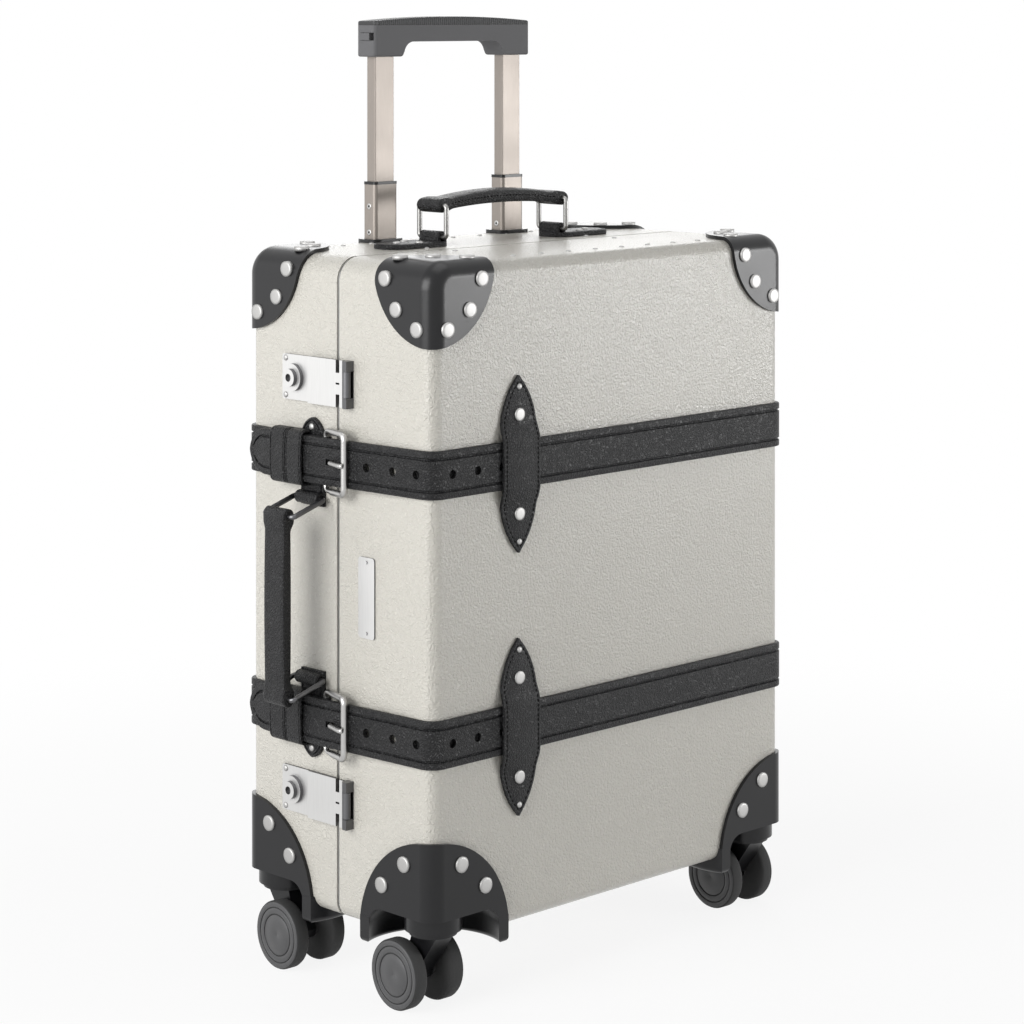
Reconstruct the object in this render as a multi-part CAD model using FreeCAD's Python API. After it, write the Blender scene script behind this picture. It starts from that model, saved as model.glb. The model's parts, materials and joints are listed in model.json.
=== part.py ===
import FreeCAD, Part
import math
import os
from functools import lru_cache

V = FreeCAD.Vector

# Shell, in millimetres: x across the front, y from front to back, z up from the floor
SHELL_WIDTH = 384.0
SHELL_DEPTH = 203.5
SHELL_HEIGHT = 489.0
SHELL_BOTTOM = 52.0
WALL = 3.0
OUTLINE_RADIUS = 18.0
FOOT_RADIUS = 12.0
FACE_EDGE_RADIUS = 10.0
SEAM = 3.0
LOOSE = 0.3
PIVOT_CLEARANCE = 0.05
PIN_SEAT_CLEARANCE = 0.02
OVERRUN = 1.0

# Closing rim and lining
RIM_THICKNESS = 1.6
RIM_IN_BASE = 10.0
RIM_IN_LID = 6.0
RIM_RIB_RECESS = 1.0
RIM_RIB_GAP = 0.5
LINING_THICKNESS = 1.0

# Corner caps
CAP_THICKNESS = 3.0
TOP_CAP_REACH = 60.0
BOTTOM_CAP_REACH = 74.5
CAP_RIVET_RADIUS = 5.8
CAP_RIVET_HEIGHT = 1.8
TOP_RIVET_RING = 48.0
TOP_RIVET_ANGLES = (15.0, 46.0, 76.0)
BOTTOM_RIVET_RING = 62.0
BOTTOM_RIVET_ANGLES = (25.0, 54.0)

# Casters, with the swivel axis set in from both outer faces
SWIVEL_INSET = 19.5
WELL_RADIUS = 50.0
WELL_DEPTH = 18.0
WELL_ROUND = 12.0
WELL_WALL = 2.5
LOBE_WALL = 9.0
LOBE_DROP = 10.0
LOBE_ROUND = 4.0
SOCKET_RADIUS = 21.0
SOCKET_DEPTH = 11.0
STEM_RADIUS = 5.0
STEM_LENGTH = 10.5
FLANGE_RADIUS = 17.5
FLANGE_THICKNESS = 3.0
FORK_WIDTH = 17.0
FORK_NECK = 13.0
FORK_BOSS_RADIUS = 8.0
TRAIL = 17.5
WHEEL_RADIUS = 25.5
WHEEL_WIDTH = 11.5
WHEEL_SPAN = 46.0
WHEEL_EDGE_RADIUS = 2.2
GROOVE_RADII = (20.5, 15.5)
GROOVE_WIDTH = 1.0
GROOVE_DEPTH = 0.8
HUB_RADIUS = 6.5
AXLE_RADIUS = 3.0
CASTER_TURN = {"front_left": -2.0, "front_right": -2.0, "rear_left": 178.0, "rear_right": 178.0}

# Straps
STRAP_WIDTH = 35.0
STRAP_THICKNESS = 3.4
UPPER_STRAP_DROP = 150.5
LOWER_STRAP_RISE = 145.0
HINGE_SPAN = 25.0
HOLE_RADIUS = 2.5
SIDE_HOLE_Y = (-39.0, -65.5, -89.0)
FRONT_HOLE_X = (-174.5, -149.5, -124.5)
TAIL_POINT_LENGTH = 20.0
TAIL_BELLY = (0.6, 0.62)
TAIL_TIP_Y = 94.0
LOOP_BAND_WIDTH = 17.8
LOOP_BAND_START = 27.2
LOOP_BAND_GAP = 0.5
LOOP_BAND_THICKNESS = 2.0

# Lozenge keepers on the front and the back
KEEPER_X = -106.5
KEEPER_LENGTH = 131.0
KEEPER_WIDTH = 37.5
KEEPER_STRAIGHT = 44.0
KEEPER_THICKNESS = 2.6
KEEPER_RAMP = 6.0
KEEPER_RIVETS = ((36.5, 4.0), (57.0, 2.2))
KEEPER_RIVET_HEIGHT = 1.3

# Buckles
HEEL_Y = 9.7
HEEL_STANDOFF = 3.5
HEEL_BAR_RADIUS = 2.0
CHAPE_WRAP = 1.25
BUCKLE_WIRE_RADIUS = 2.5
BUCKLE_BAR_Y = -19.5
BUCKLE_HEIGHT = 44.5
BUCKLE_CORNER = 4.4
BUCKLE_NECK = 10.0
PRONG_RADIUS = 1.9
PRONG_EYE_RADIUS = 3.1
PRONG_EYE_WIDTH = 4.4
PRONG_RISE_Y = 0.5
PRONG_KNEE_Y = -4.5
PRONG_OVERHANG = 2.0
PRONG_SLOT = (-6.2, 2.8)

# Locks and hasps
LOCK_FROM_STRAP = 58.0
LOCK_HEIGHT = 34.0
LOCK_THICKNESS = 2.0
LOCK_START_Y = 2.0
LOCK_END_Y = 61.5
LOCK_CORNER = 2.0
BUTTON_Y = 47.8
BOSS_RADIUS = 10.3
BOSS_HEIGHT = 3.0
BUTTON_RADIUS = 6.6
BUTTON_PROUD = 3.2
BUTTON_TRAVEL = 2.0
KEYHOLE_RADIUS = 3.0
KEYHOLE_DEPTH = 4.0
HASP_HEIGHT = 35.0
HASP_THICKNESS = 2.2
HASP_END_Y = 29.5
HASP_PIVOT_Y = -14.1
HASP_PIVOT_STANDOFF = 4.2
HASP_KNUCKLE = 19.2
HASP_PIN_RADIUS = 1.2
BARREL_RADIUS = 3.3
NOTCH_DEPTH = 9.5
NOTCH_WIDTH = 4.0
NOTCH_Y = -4.3
HASP_SLOT_HEIGHT = 1.4

# Hinges on the side away from the locks
HINGE_STANDOFF = 3.5
HINGE_LEAF_LENGTH = 26.0
HINGE_LEAF_THICKNESS = 1.5
HINGE_HEIGHT = 34.0
HINGE_KNUCKLE = 12.0
HINGE_PIN_RADIUS = 1.5

# Name plate
PLATE_Y = -32.5
PLATE_WIDTH = 17.5
PLATE_HEIGHT = 59.5
PLATE_THICKNESS = 1.2
PLATE_CORNER = 2.5
PLATE_PIN_RADIUS = 1.3
PLATE_PIN_PITCH = 52.0
PLATE_PIN_PROUD = 0.7

# Top handle
TOP_Y = 32.4
TOP_LOOP_X = 66.0
LOOP_WIRE_RADIUS = 2.0
LOOP_CORNER = 2.6
TOP_LOOP_WIDTH = 30.5
TOP_LOOP_HEIGHT = 24.5
TOP_PIVOT_RISE = 7.0
TOP_PLATE_INNER = 58.5
TOP_PLATE_OUTER = 121.0
TOP_PLATE_WIDTH = 31.0
TOP_PLATE_ROUND = 13.0
TOP_PLATE_THICKNESS = 4.0
TOP_PLATE_RIVETS = ((104.0, 0.0), (88.5, 8.5), (88.5, -8.5))
TOP_PLATE_RIVET_RADIUS = 3.0
TAB_ROLL = 2.8
TOP_TAB_WIDTH = 22.0
TOP_GRIP_WIDTH = 25.0
TOP_GRIP_RISE = 5.0
GRIP_THICKNESS = 11.2
GRIP_EDGE = 2.5
GRIP_LOOSE = 0.4

# Side handle
SIDE_Y = 26.4
SIDE_PIVOT_FROM_STRAP = 29.5
SIDE_PIVOT_STANDOFF = 5.2
SIDE_LOOP_WIDTH = 33.0
SIDE_LOOP_REACH = 31.5
SIDE_DROOP = 17.5
SIDE_PLATE_WIDTH = 26.0
SIDE_PLATE_THICKNESS = 3.0
SIDE_PLATE_TIP = 30.0
SIDE_PLATE_POINT = 16.0
SIDE_POINT_BELLY = (0.33, 0.55)
SIDE_PLATE_END = 6.0
SIDE_PLATE_RIVET = 2.6
SIDE_PLATE_RIVET_INSET = 7.0
SIDE_TAB_WIDTH = 25.0
SIDE_GRIP_WIDTH = 23.5
SIDE_GRIP_RISE = 0.0

# Trolley handle
TUBE_FROM_GRIP_END = 16.0
TUBE_Y = 89.0
TUBE_RADIUS = 3.0
TUBE_LEAST_RADIUS = 0.6
MIDDLE_WIDTH = 24.2
MIDDLE_DEPTH = 14.5
MIDDLE_WALL = 1.9
OUTER_WALL = 1.2
INNER_WALL = 1.2
MIDDLE_DRAWN = 45.7
MIDDLE_LENGTH = 430.0
COLLAR_HEIGHT = 2.3
COLLAR_LIP = 0.3
INNER_LENGTH = 430.0
BEZEL_BORDER = 4.5
BEZEL_HEIGHT = 2.8
BEZEL_SKIRT = 8.0
COVER_FROM_TUBE = 21.0
COVER_THICKNESS = 1.5
COVER_GAP = 1.2
GRIP_HALF = 86.0
GRIP_DEPTH = 22.0
GRIP_CORNER = 4.0
INNER_DRAWN = 98.4
GRIP_LEG_LENGTH = 11.8
GRIP_LEG_FROM_TUBE = 13.5
GRIP_BEND_WIDTH = 12.0
GRIP_BODY_HEIGHT = 24.9
GRIP_END_RISE = 3.3
GRIP_CROWN_RISE = 6.8
GRIP_EDGE_ROUND = 1.5
GRIP_FOOT_ROUND = 1.6
GRIP_SOCKET_DEPTH = 20.0
TAB_RISE = 16.0
TAB_HEIGHT = 5.6
TAB_LENGTH = 11.0
TAB_TRAVEL = 3.4
TAB_DEPTH = 4.0
TAB_PROUD = 1.0

# Values worked out from the sizes above
BASE = 1
LID = -1
SHELL_TOP = SHELL_BOTTOM + SHELL_HEIGHT
HALF_WIDTH = SHELL_WIDTH / 2
HALF_DEPTH = SHELL_DEPTH / 2
STRAP_Z = {"upper": SHELL_TOP - UPPER_STRAP_DROP, "lower": SHELL_BOTTOM + LOWER_STRAP_RISE}
LOCK_Z = {"upper": STRAP_Z["upper"] + LOCK_FROM_STRAP, "lower": STRAP_Z["lower"] - LOCK_FROM_STRAP}
SIDE_PIVOT_Z = {"upper": STRAP_Z["upper"] - SIDE_PIVOT_FROM_STRAP,
                "lower": STRAP_Z["lower"] + SIDE_PIVOT_FROM_STRAP}
PLATE_Z = (STRAP_Z["upper"] + STRAP_Z["lower"]) / 2
TUBE_X = GRIP_HALF - TUBE_FROM_GRIP_END
COVER_HALF_WIDTH = TUBE_X + COVER_FROM_TUBE
GRIP_LEG_INNER = TUBE_X - GRIP_LEG_FROM_TUBE
GRIP_ARCH_HALF = GRIP_LEG_INNER - GRIP_BEND_WIDTH
OUTER_TUBE_FOOT = SHELL_BOTTOM + FACE_EDGE_RADIUS
MIDDLE_TOP = SHELL_TOP + MIDDLE_DRAWN
COLLAR_TOP = MIDDLE_TOP + COLLAR_HEIGHT
GRIP_LEG_BOTTOM = COLLAR_TOP + INNER_DRAWN
GRIP_ARCH = GRIP_LEG_BOTTOM + GRIP_LEG_LENGTH
GRIP_SEAM = GRIP_LEG_BOTTOM + GRIP_BODY_HEIGHT
GRIP_END_TOP = GRIP_SEAM + GRIP_END_RISE
GRIP_CROWN = GRIP_SEAM + GRIP_CROWN_RISE
TAB_Z = GRIP_LEG_BOTTOM + TAB_RISE
BIG = 4 * SHELL_HEIGHT
WELL_TOP = SHELL_BOTTOM + WELL_DEPTH
SOCKET_BOTTOM = WELL_TOP - SOCKET_DEPTH
LOOP_GRIP_RADIUS = LOOP_WIRE_RADIUS + PIVOT_CLEARANCE
TAB_RADIUS = LOOP_WIRE_RADIUS + TAB_ROLL
WRAP_RADIUS = HEEL_BAR_RADIUS + PIVOT_CLEARANCE + CHAPE_WRAP
CHAPE_LIFT = SIDE_PLATE_THICKNESS + LOOSE
TONGUE_LIFT = HEEL_STANDOFF + WRAP_RADIUS + LOOSE
CORNER_Y = HALF_DEPTH - FACE_EDGE_RADIUS
BAR_STANDOFF = (TONGUE_LIFT * (BUCKLE_BAR_Y + CORNER_Y) / (HEEL_Y + CORNER_Y)
                + STRAP_THICKNESS + LOOSE + BUCKLE_WIRE_RADIUS)
TOP_PIVOT_Z = SHELL_TOP + TOP_PIVOT_RISE
TOP_BAR_Z = TOP_PIVOT_Z + TOP_LOOP_HEIGHT
SIDE_BAR_REACH = SIDE_PIVOT_STANDOFF + SIDE_LOOP_REACH * math.cos(math.radians(SIDE_DROOP))
SIDE_BAR_DROP = SIDE_LOOP_REACH * math.sin(math.radians(SIDE_DROOP))
HINGE_AXIS_X = HALF_WIDTH + HINGE_STANDOFF
LEFT_REACH = HALF_WIDTH + SIDE_BAR_REACH + GRIP_THICKNESS / 2
REST_TURN = math.radians(abs(CASTER_TURN["front_right"]))
RIGHT_REACH = (HALF_WIDTH - SWIVEL_INSET + WHEEL_EDGE_RADIUS
               + (WHEEL_SPAN / 2 - WHEEL_EDGE_RADIUS) * math.cos(REST_TURN)
               + (TRAIL + WHEEL_RADIUS - WHEEL_EDGE_RADIUS) * math.sin(REST_TURN))
CENTRE_X = (LEFT_REACH - RIGHT_REACH) / 2
CASTERS = {"front_left": (-1, LID), "front_right": (1, LID),
           "rear_left": (-1, BASE), "rear_right": (1, BASE)}


# Plain building blocks

def box(x0, x1, y0, y1, z0, z1):
    return Part.makeBox(x1 - x0, y1 - y0, z1 - z0, V(x0, y0, z0))


def rod(start, end, radius):
    return Part.makeCylinder(radius, (end - start).Length, start, end - start)


def prism(points, direction):
    return Part.Face(Part.makePolygon(points + points[:1])).extrude(direction)


def outline_prism(edges, direction):
    return Part.Face(Part.Wire(edges)).extrude(direction)


def line(a, b):
    return Part.makeLine(a, b)


def arc(a, b, c):
    return Part.Arc(a, b, c).toShape()


def edges_along(solid, axis):
    return [e for e in solid.Edges if abs(abs(e.tangentAt(e.FirstParameter).dot(axis)) - 1) < 1e-6]


def rounded_bar(x, y, width, depth, radius, z0, z1):
    bar = box(x - width / 2, x + width / 2, y - depth / 2, y + depth / 2, z0, z1)
    return bar.makeFillet(radius, edges_along(bar, V(0, 0, 1)))


def place(shape, origin, along_x, along_y):
    along_z = along_x.cross(along_y)
    matrix = FreeCAD.Matrix(along_x.x, along_y.x, along_z.x, origin.x,
                            along_x.y, along_y.y, along_z.y, origin.y,
                            along_x.z, along_y.z, along_z.z, origin.z,
                            0, 0, 0, 1)
    placed = shape.copy()
    placed.Placement = FreeCAD.Placement(matrix)
    return placed


def group(solids):
    return Part.makeCompound(solids)


def left(standoff, y, z):
    return V(-HALF_WIDTH - standoff, y, z)


# Wire loop in the local xy plane, from a bar at x = 0 to a bar at x = length
def wire_loop(length, width, corner, radius):
    half = width / 2
    bend = corner * (1 - math.sqrt(0.5))
    path = Part.Wire([
        line(V(0, corner - half, 0), V(0, half - corner, 0)),
        arc(V(0, half - corner, 0), V(bend, half - bend, 0), V(corner, half, 0)),
        line(V(corner, half, 0), V(length - corner, half, 0)),
        arc(V(length - corner, half, 0), V(length - bend, half - bend, 0), V(length, half - corner, 0)),
        line(V(length, half - corner, 0), V(length, corner - half, 0)),
        arc(V(length, corner - half, 0), V(length - bend, bend - half, 0), V(length - corner, -half, 0)),
        line(V(length - corner, -half, 0), V(corner, -half, 0)),
        arc(V(corner, -half, 0), V(bend, bend - half, 0), V(0, corner - half, 0)),
    ])
    section = Part.Wire([Part.makeCircle(radius, V(0, corner - half, 0), V(0, 1, 0))])
    return path.makePipeShell([section], True, True)


# Rounded case block, grown or shrunk evenly from the outer face of the shell
@lru_cache(maxsize=None)
def case_block(grow):
    x = HALF_WIDTH + grow
    y = HALF_DEPTH + grow
    block = box(-x, x, -y, y, SHELL_BOTTOM - grow, SHELL_TOP + grow)
    outline = edges_along(block, V(0, 1, 0))
    middle = SHELL_BOTTOM + SHELL_HEIGHT / 2
    block = block.makeFillet(OUTLINE_RADIUS + grow, [e for e in outline if e.Vertexes[0].Z > middle])
    outline = [e for e in edges_along(block, V(0, 1, 0)) if e.Vertexes[0].Z < SHELL_BOTTOM - grow + LOOSE]
    sharp = [e for e in outline if abs(abs(e.Vertexes[0].X) - x) < LOOSE]
    block = block.makeFillet(FOOT_RADIUS + grow, sharp)
    rims = [e for e in block.Edges if all(abs(abs(v.Y) - y) < 1e-6 for v in e.Vertexes)]
    return block.makeFillet(FACE_EDGE_RADIUS + grow, rims)


@lru_cache(maxsize=None)
def skin(inner, outer):
    return case_block(outer).cut(case_block(inner))


def y_slab(y0, y1):
    return box(-BIG, BIG, y0, y1, -BIG, BIG)


def half(side):
    return y_slab(SEAM / 2, BIG) if side == BASE else y_slab(-BIG, -SEAM / 2)


# Wheel wells

def swivel_axis(x_side, y_side):
    return V(x_side * (HALF_WIDTH - SWIVEL_INSET), y_side * (HALF_DEPTH - SWIVEL_INSET), 0)


def well_block(x_side, y_side, grow):
    foot = swivel_axis(x_side, y_side) + V(0, 0, SHELL_BOTTOM - CAP_THICKNESS - WELL_DEPTH)
    block = Part.makeCylinder(WELL_RADIUS + grow, WELL_TOP + grow - foot.z, foot)
    rim = [e for e in block.Edges if len(e.Vertexes) == 1 and abs(e.Vertexes[0].Z - WELL_TOP - grow) < 1e-6]
    return block.makeFillet(WELL_ROUND + grow, rim)


def cut_wells(solid, side, grow):
    return solid.cut([well_block(x_side, side, grow) for x_side in (-1, 1)])


# Trolley tube sections

def tube_block(x_side, grow, z0, z1):
    return rounded_bar(x_side * TUBE_X, TUBE_Y, MIDDLE_WIDTH + 2 * grow, MIDDLE_DEPTH + 2 * grow,
                       max(TUBE_RADIUS + grow, TUBE_LEAST_RADIUS), z0, z1)


def tube_pair(outer, wall, z0, z1):
    return [tube_block(s, outer, z0, z1).cut(tube_block(s, outer - wall, z0 - OVERRUN, z1 + OVERRUN))
            for s in (-1, 1)]


OUTER_GROW = LOOSE + OUTER_WALL
INNER_GROW = -MIDDLE_WALL - LOOSE


# Shells, rim and lining

def shell(side):
    body = cut_wells(skin(-WALL, 0.0).common(half(side)), side, WELL_WALL)
    if side == BASE:
        body = body.cut([tube_block(s, OUTER_GROW + LOOSE, SHELL_TOP - 2 * OUTLINE_RADIUS, BIG) for s in (-1, 1)])
    return body


def closing_rim():
    seat = -WALL - LOOSE
    ring = skin(seat - RIM_THICKNESS, seat).common(y_slab(-RIM_IN_LID, RIM_IN_BASE))
    rib = skin(seat - RIM_THICKNESS, -RIM_RIB_RECESS).common(y_slab(RIM_RIB_GAP - SEAM / 2, SEAM / 2))
    return ring.fuse(rib).removeSplitter()


def lining(side):
    outer = -WALL - LOOSE
    room = y_slab(RIM_IN_BASE + LOOSE, BIG) if side == BASE else y_slab(-BIG, -RIM_IN_LID - LOOSE)
    body = cut_wells(skin(outer - LINING_THICKNESS, outer).common(room), side, WELL_WALL + LOOSE)
    if side == BASE:
        reach = MIDDLE_WIDTH / 2 + OUTER_GROW + LOOSE
        front = TUBE_Y - MIDDLE_DEPTH / 2 - OUTER_GROW - LOOSE
        body = body.cut([box(s * TUBE_X - reach, s * TUBE_X + reach, front, BIG, OUTER_TUBE_FOOT - LOOSE, BIG)
                         for s in (-1, 1)])
    return body


# Corner caps

def top_cap(x_side, y_side):
    corner = V(x_side * HALF_WIDTH, y_side * HALF_DEPTH, SHELL_TOP)
    return skin(0.0, CAP_THICKNESS).common(Part.makeSphere(TOP_CAP_REACH, corner))


# Rim of the wheel well below the shell, kept inside the outer faces of the caps
def well_rim(x_side, y_side):
    foot = swivel_axis(x_side, y_side) + V(0, 0, SHELL_BOTTOM - LOBE_DROP)
    rise = LOBE_DROP + FACE_EDGE_RADIUS
    ring = Part.makeCylinder(WELL_RADIUS + LOBE_WALL, rise, foot).cut(
        Part.makeCylinder(WELL_RADIUS, rise, foot))
    x = HALF_WIDTH + CAP_THICKNESS
    y = HALF_DEPTH + CAP_THICKNESS
    ring = ring.common(box(-x, x, -y, y, 0, SHELL_TOP)).Solids
    far = max(ring, key=lambda solid: solid.Volume)
    low = [e for e in far.Edges if all(abs(v.Z - foot.z) < 1e-6 for v in e.Vertexes)]
    return far.makeFillet(LOBE_ROUND, low)


def bottom_cap(x_side, y_side):
    corner = V(x_side * HALF_WIDTH, y_side * HALF_DEPTH, SHELL_BOTTOM)
    well = well_block(x_side, y_side, 0.0)
    axis = swivel_axis(x_side, y_side)
    cap = skin(0.0, CAP_THICKNESS).common(Part.makeSphere(BOTTOM_CAP_REACH, corner)).cut(well)
    cup = well_block(x_side, y_side, WELL_WALL).cut(well).common(case_block(0.0))
    socket = Part.makeCylinder(SOCKET_RADIUS, SOCKET_DEPTH, axis + V(0, 0, SOCKET_BOTTOM))
    bore = Part.makeCylinder(STEM_RADIUS + PIVOT_CLEARANCE, SOCKET_DEPTH, axis + V(0, 0, SOCKET_BOTTOM))
    rim = well_rim(x_side, y_side).cut(case_block(0.0))
    return cap.fuse([cup, socket, rim]).removeSplitter().cut(bore)


# Rivet heads that sit on the surface grown by a standoff

def rivet(point, outward, radius, height):
    return Part.makeCylinder(radius, height, point, outward)


def cap_rivet(point, outward):
    shank = rivet(point - outward * CAP_THICKNESS, outward, CAP_RIVET_RADIUS, CAP_THICKNESS + CAP_RIVET_HEIGHT)
    return shank.cut(case_block(CAP_THICKNESS))


def cap_rivets(side):
    heads = []
    for x_side in (-1, 1):
        x_face = x_side * (HALF_WIDTH + CAP_THICKNESS)
        y_face = side * (HALF_DEPTH + CAP_THICKNESS)
        out_x = V(x_side, 0, 0)
        out_y = V(0, side, 0)
        rings = ((TOP_RIVET_RING, TOP_RIVET_ANGLES, SHELL_TOP, -1),
                 (BOTTOM_RIVET_RING, BOTTOM_RIVET_ANGLES, SHELL_BOTTOM, 1))
        for ring, angles, level, up in rings:
            for angle in angles:
                across = ring * math.sin(math.radians(angle))
                z = level + up * ring * math.cos(math.radians(angle))
                heads.append(cap_rivet(V(x_face, side * (HALF_DEPTH - across), z), out_x))
                heads.append(cap_rivet(V(x_side * (HALF_WIDTH - across), y_face, z), out_y))
        for angle in TOP_RIVET_ANGLES:
            x = x_side * (HALF_WIDTH - TOP_RIVET_RING * math.cos(math.radians(angle)))
            y = side * (HALF_DEPTH - TOP_RIVET_RING * math.sin(math.radians(angle)))
            heads.append(cap_rivet(V(x, y, SHELL_TOP + CAP_THICKNESS), V(0, 0, 1)))
    return heads


def keeper_rivets(side):
    heads = []
    for strap_z in STRAP_Z.values():
        for offset, radius in KEEPER_RIVETS:
            for up in (-1, 1):
                point = V(KEEPER_X, side * (HALF_DEPTH + KEEPER_THICKNESS), strap_z + up * offset)
                heads.append(rivet(point, V(0, side, 0), radius, KEEPER_RIVET_HEIGHT))
    return heads


def mount_rivets():
    heads = []
    for x_side in (-1, 1):
        for x, y in TOP_PLATE_RIVETS:
            point = V(x_side * x, TOP_Y + y, SHELL_TOP + TOP_PLATE_THICKNESS)
            heads.append(rivet(point, V(0, 0, 1), TOP_PLATE_RIVET_RADIUS, KEEPER_RIVET_HEIGHT))
    for level, up in (("upper", 1), ("lower", -1)):
        z = STRAP_Z[level] + up * (SIDE_PLATE_TIP - SIDE_PLATE_RIVET_INSET)
        heads.append(rivet(left(SIDE_PLATE_THICKNESS, SIDE_Y, z), V(-1, 0, 0),
                           SIDE_PLATE_RIVET, KEEPER_RIVET_HEIGHT))
    return heads


# Straps

def strap_slab(level):
    z = STRAP_Z[level]
    return box(-BIG, BIG, -BIG, BIG, z - STRAP_WIDTH / 2, z + STRAP_WIDTH / 2)


def strap_ring(level):
    return skin(0.0, STRAP_THICKNESS).common(strap_slab(level))


# Strip of strap on the lock side, given as (standoff, y) points along its inner face
def side_strip(level, points):
    z = STRAP_Z[level] - STRAP_WIDTH / 2
    inner = [left(standoff, y, z) for standoff, y in points]
    outer = [left(standoff + STRAP_THICKNESS, y, z) for standoff, y in reversed(points)]
    return prism(inner + outer, V(0, 0, STRAP_WIDTH))


def tongue_standoff(y):
    return TONGUE_LIFT * (y + CORNER_Y) / (HEEL_Y + CORNER_Y)


def lid_strap(level):
    z = STRAP_Z[level]
    ring = strap_ring(level)
    front = ring.common(y_slab(-BIG, -CORNER_Y))
    hinge_side = ring.common(box(0, BIG, -CORNER_Y, -HINGE_SPAN - LOOSE, -BIG, BIG))
    end_y = BUCKLE_BAR_Y - LOOSE
    strip = side_strip(level, [(0.0, -CORNER_Y), (tongue_standoff(end_y), end_y)])
    side_holes = [rod(left(-WALL, y, z), left(BIG, y, z), HOLE_RADIUS) for y in SIDE_HOLE_Y]
    front_holes = [rod(V(x, WALL - HALF_DEPTH, z), V(x, -BIG, z), HOLE_RADIUS) for x in FRONT_HOLE_X]
    return front.fuse([hinge_side, strip]).removeSplitter().cut(side_holes + front_holes)


def chape_flat_end():
    return SIDE_Y + SIDE_PLATE_WIDTH / 2 + SIDE_PLATE_THICKNESS


def base_strap(level):
    z = STRAP_Z[level]
    ring = strap_ring(level)
    back = ring.common(y_slab(CORNER_Y, BIG))
    hinge_side = ring.common(box(0, BIG, HINGE_SPAN + LOOSE, CORNER_Y, -BIG, BIG))
    strip = side_strip(level, [(0.0, CORNER_Y), (CHAPE_LIFT, chape_flat_end()), (CHAPE_LIFT, HEEL_Y)])
    heel = left(HEEL_STANDOFF, HEEL_Y, z - STRAP_WIDTH / 2)
    across = V(0, 0, STRAP_WIDTH)
    wrap = rod(heel, heel + across, WRAP_RADIUS)
    bore = rod(heel, heel + across, HEEL_BAR_RADIUS + PIVOT_CLEARANCE)
    eye_room = PRONG_EYE_RADIUS + LOOSE
    slot = box(-BIG, 0, HEEL_Y - eye_room, HEEL_Y + eye_room,
               z - PRONG_EYE_WIDTH / 2 - LOOSE, z + PRONG_EYE_WIDTH / 2 + LOOSE)
    sheet = slot.common(box(-HALF_WIDTH - BIG, -HALF_WIDTH, -BIG, BIG, -BIG, BIG))
    return back.fuse([hinge_side, strip, wrap]).removeSplitter().cut([bore, sheet])


def strap_tail(level):
    z = STRAP_Z[level]
    start_y = BUCKLE_BAR_Y + LOOSE
    rest = STRAP_THICKNESS + LOOSE
    strip = side_strip(level, [(tongue_standoff(start_y), start_y), (TONGUE_LIFT, HEEL_Y),
                               (TONGUE_LIFT, chape_flat_end()), (rest, CORNER_Y), (rest, TAIL_TIP_Y)])
    half = STRAP_WIDTH / 2
    shoulder = TAIL_TIP_Y - TAIL_POINT_LENGTH
    belly = shoulder + TAIL_BELLY[0] * TAIL_POINT_LENGTH
    swell = TAIL_BELLY[1] * half
    outline = outline_prism([
        line(V(-BIG, start_y, z - half), V(-BIG, shoulder, z - half)),
        arc(V(-BIG, shoulder, z - half), V(-BIG, belly, z - swell), V(-BIG, TAIL_TIP_Y, z)),
        arc(V(-BIG, TAIL_TIP_Y, z), V(-BIG, belly, z + swell), V(-BIG, shoulder, z + half)),
        line(V(-BIG, shoulder, z + half), V(-BIG, start_y, z + half)),
        line(V(-BIG, start_y, z + half), V(-BIG, start_y, z - half)),
    ], V(BIG, 0, 0))
    slot_half = PRONG_RADIUS + LOOSE
    slot = box(-BIG, -HALF_WIDTH, PRONG_SLOT[0], PRONG_SLOT[1], z - slot_half, z + slot_half)
    return strip.common(outline).cut(slot)


def hinge_span(level):
    return strap_ring(level).common(box(0, BIG, -HINGE_SPAN, HINGE_SPAN, -BIG, BIG))


def loop_band(level, index):
    z = STRAP_Z[level]
    y = LOOP_BAND_START + index * (LOOP_BAND_WIDTH + LOOP_BAND_GAP)
    inner_half = STRAP_WIDTH / 2 + LOOSE
    inner_top = TONGUE_LIFT + STRAP_THICKNESS + LOOSE
    outer_half = inner_half + LOOP_BAND_THICKNESS
    outer_top = inner_top + LOOP_BAND_THICKNESS
    band = box(-HALF_WIDTH - outer_top, -HALF_WIDTH - CHAPE_LIFT, y, y + LOOP_BAND_WIDTH,
               z - outer_half, z + outer_half)
    band = band.makeFillet(LOOP_BAND_THICKNESS, [e for e in edges_along(band, V(0, 1, 0))
                                                 if e.Vertexes[0].X < -HALF_WIDTH - inner_top])
    room = box(-HALF_WIDTH - inner_top, 0, y - OVERRUN, y + LOOP_BAND_WIDTH + OVERRUN,
               z - inner_half, z + inner_half)
    return band.cut(room)


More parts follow.
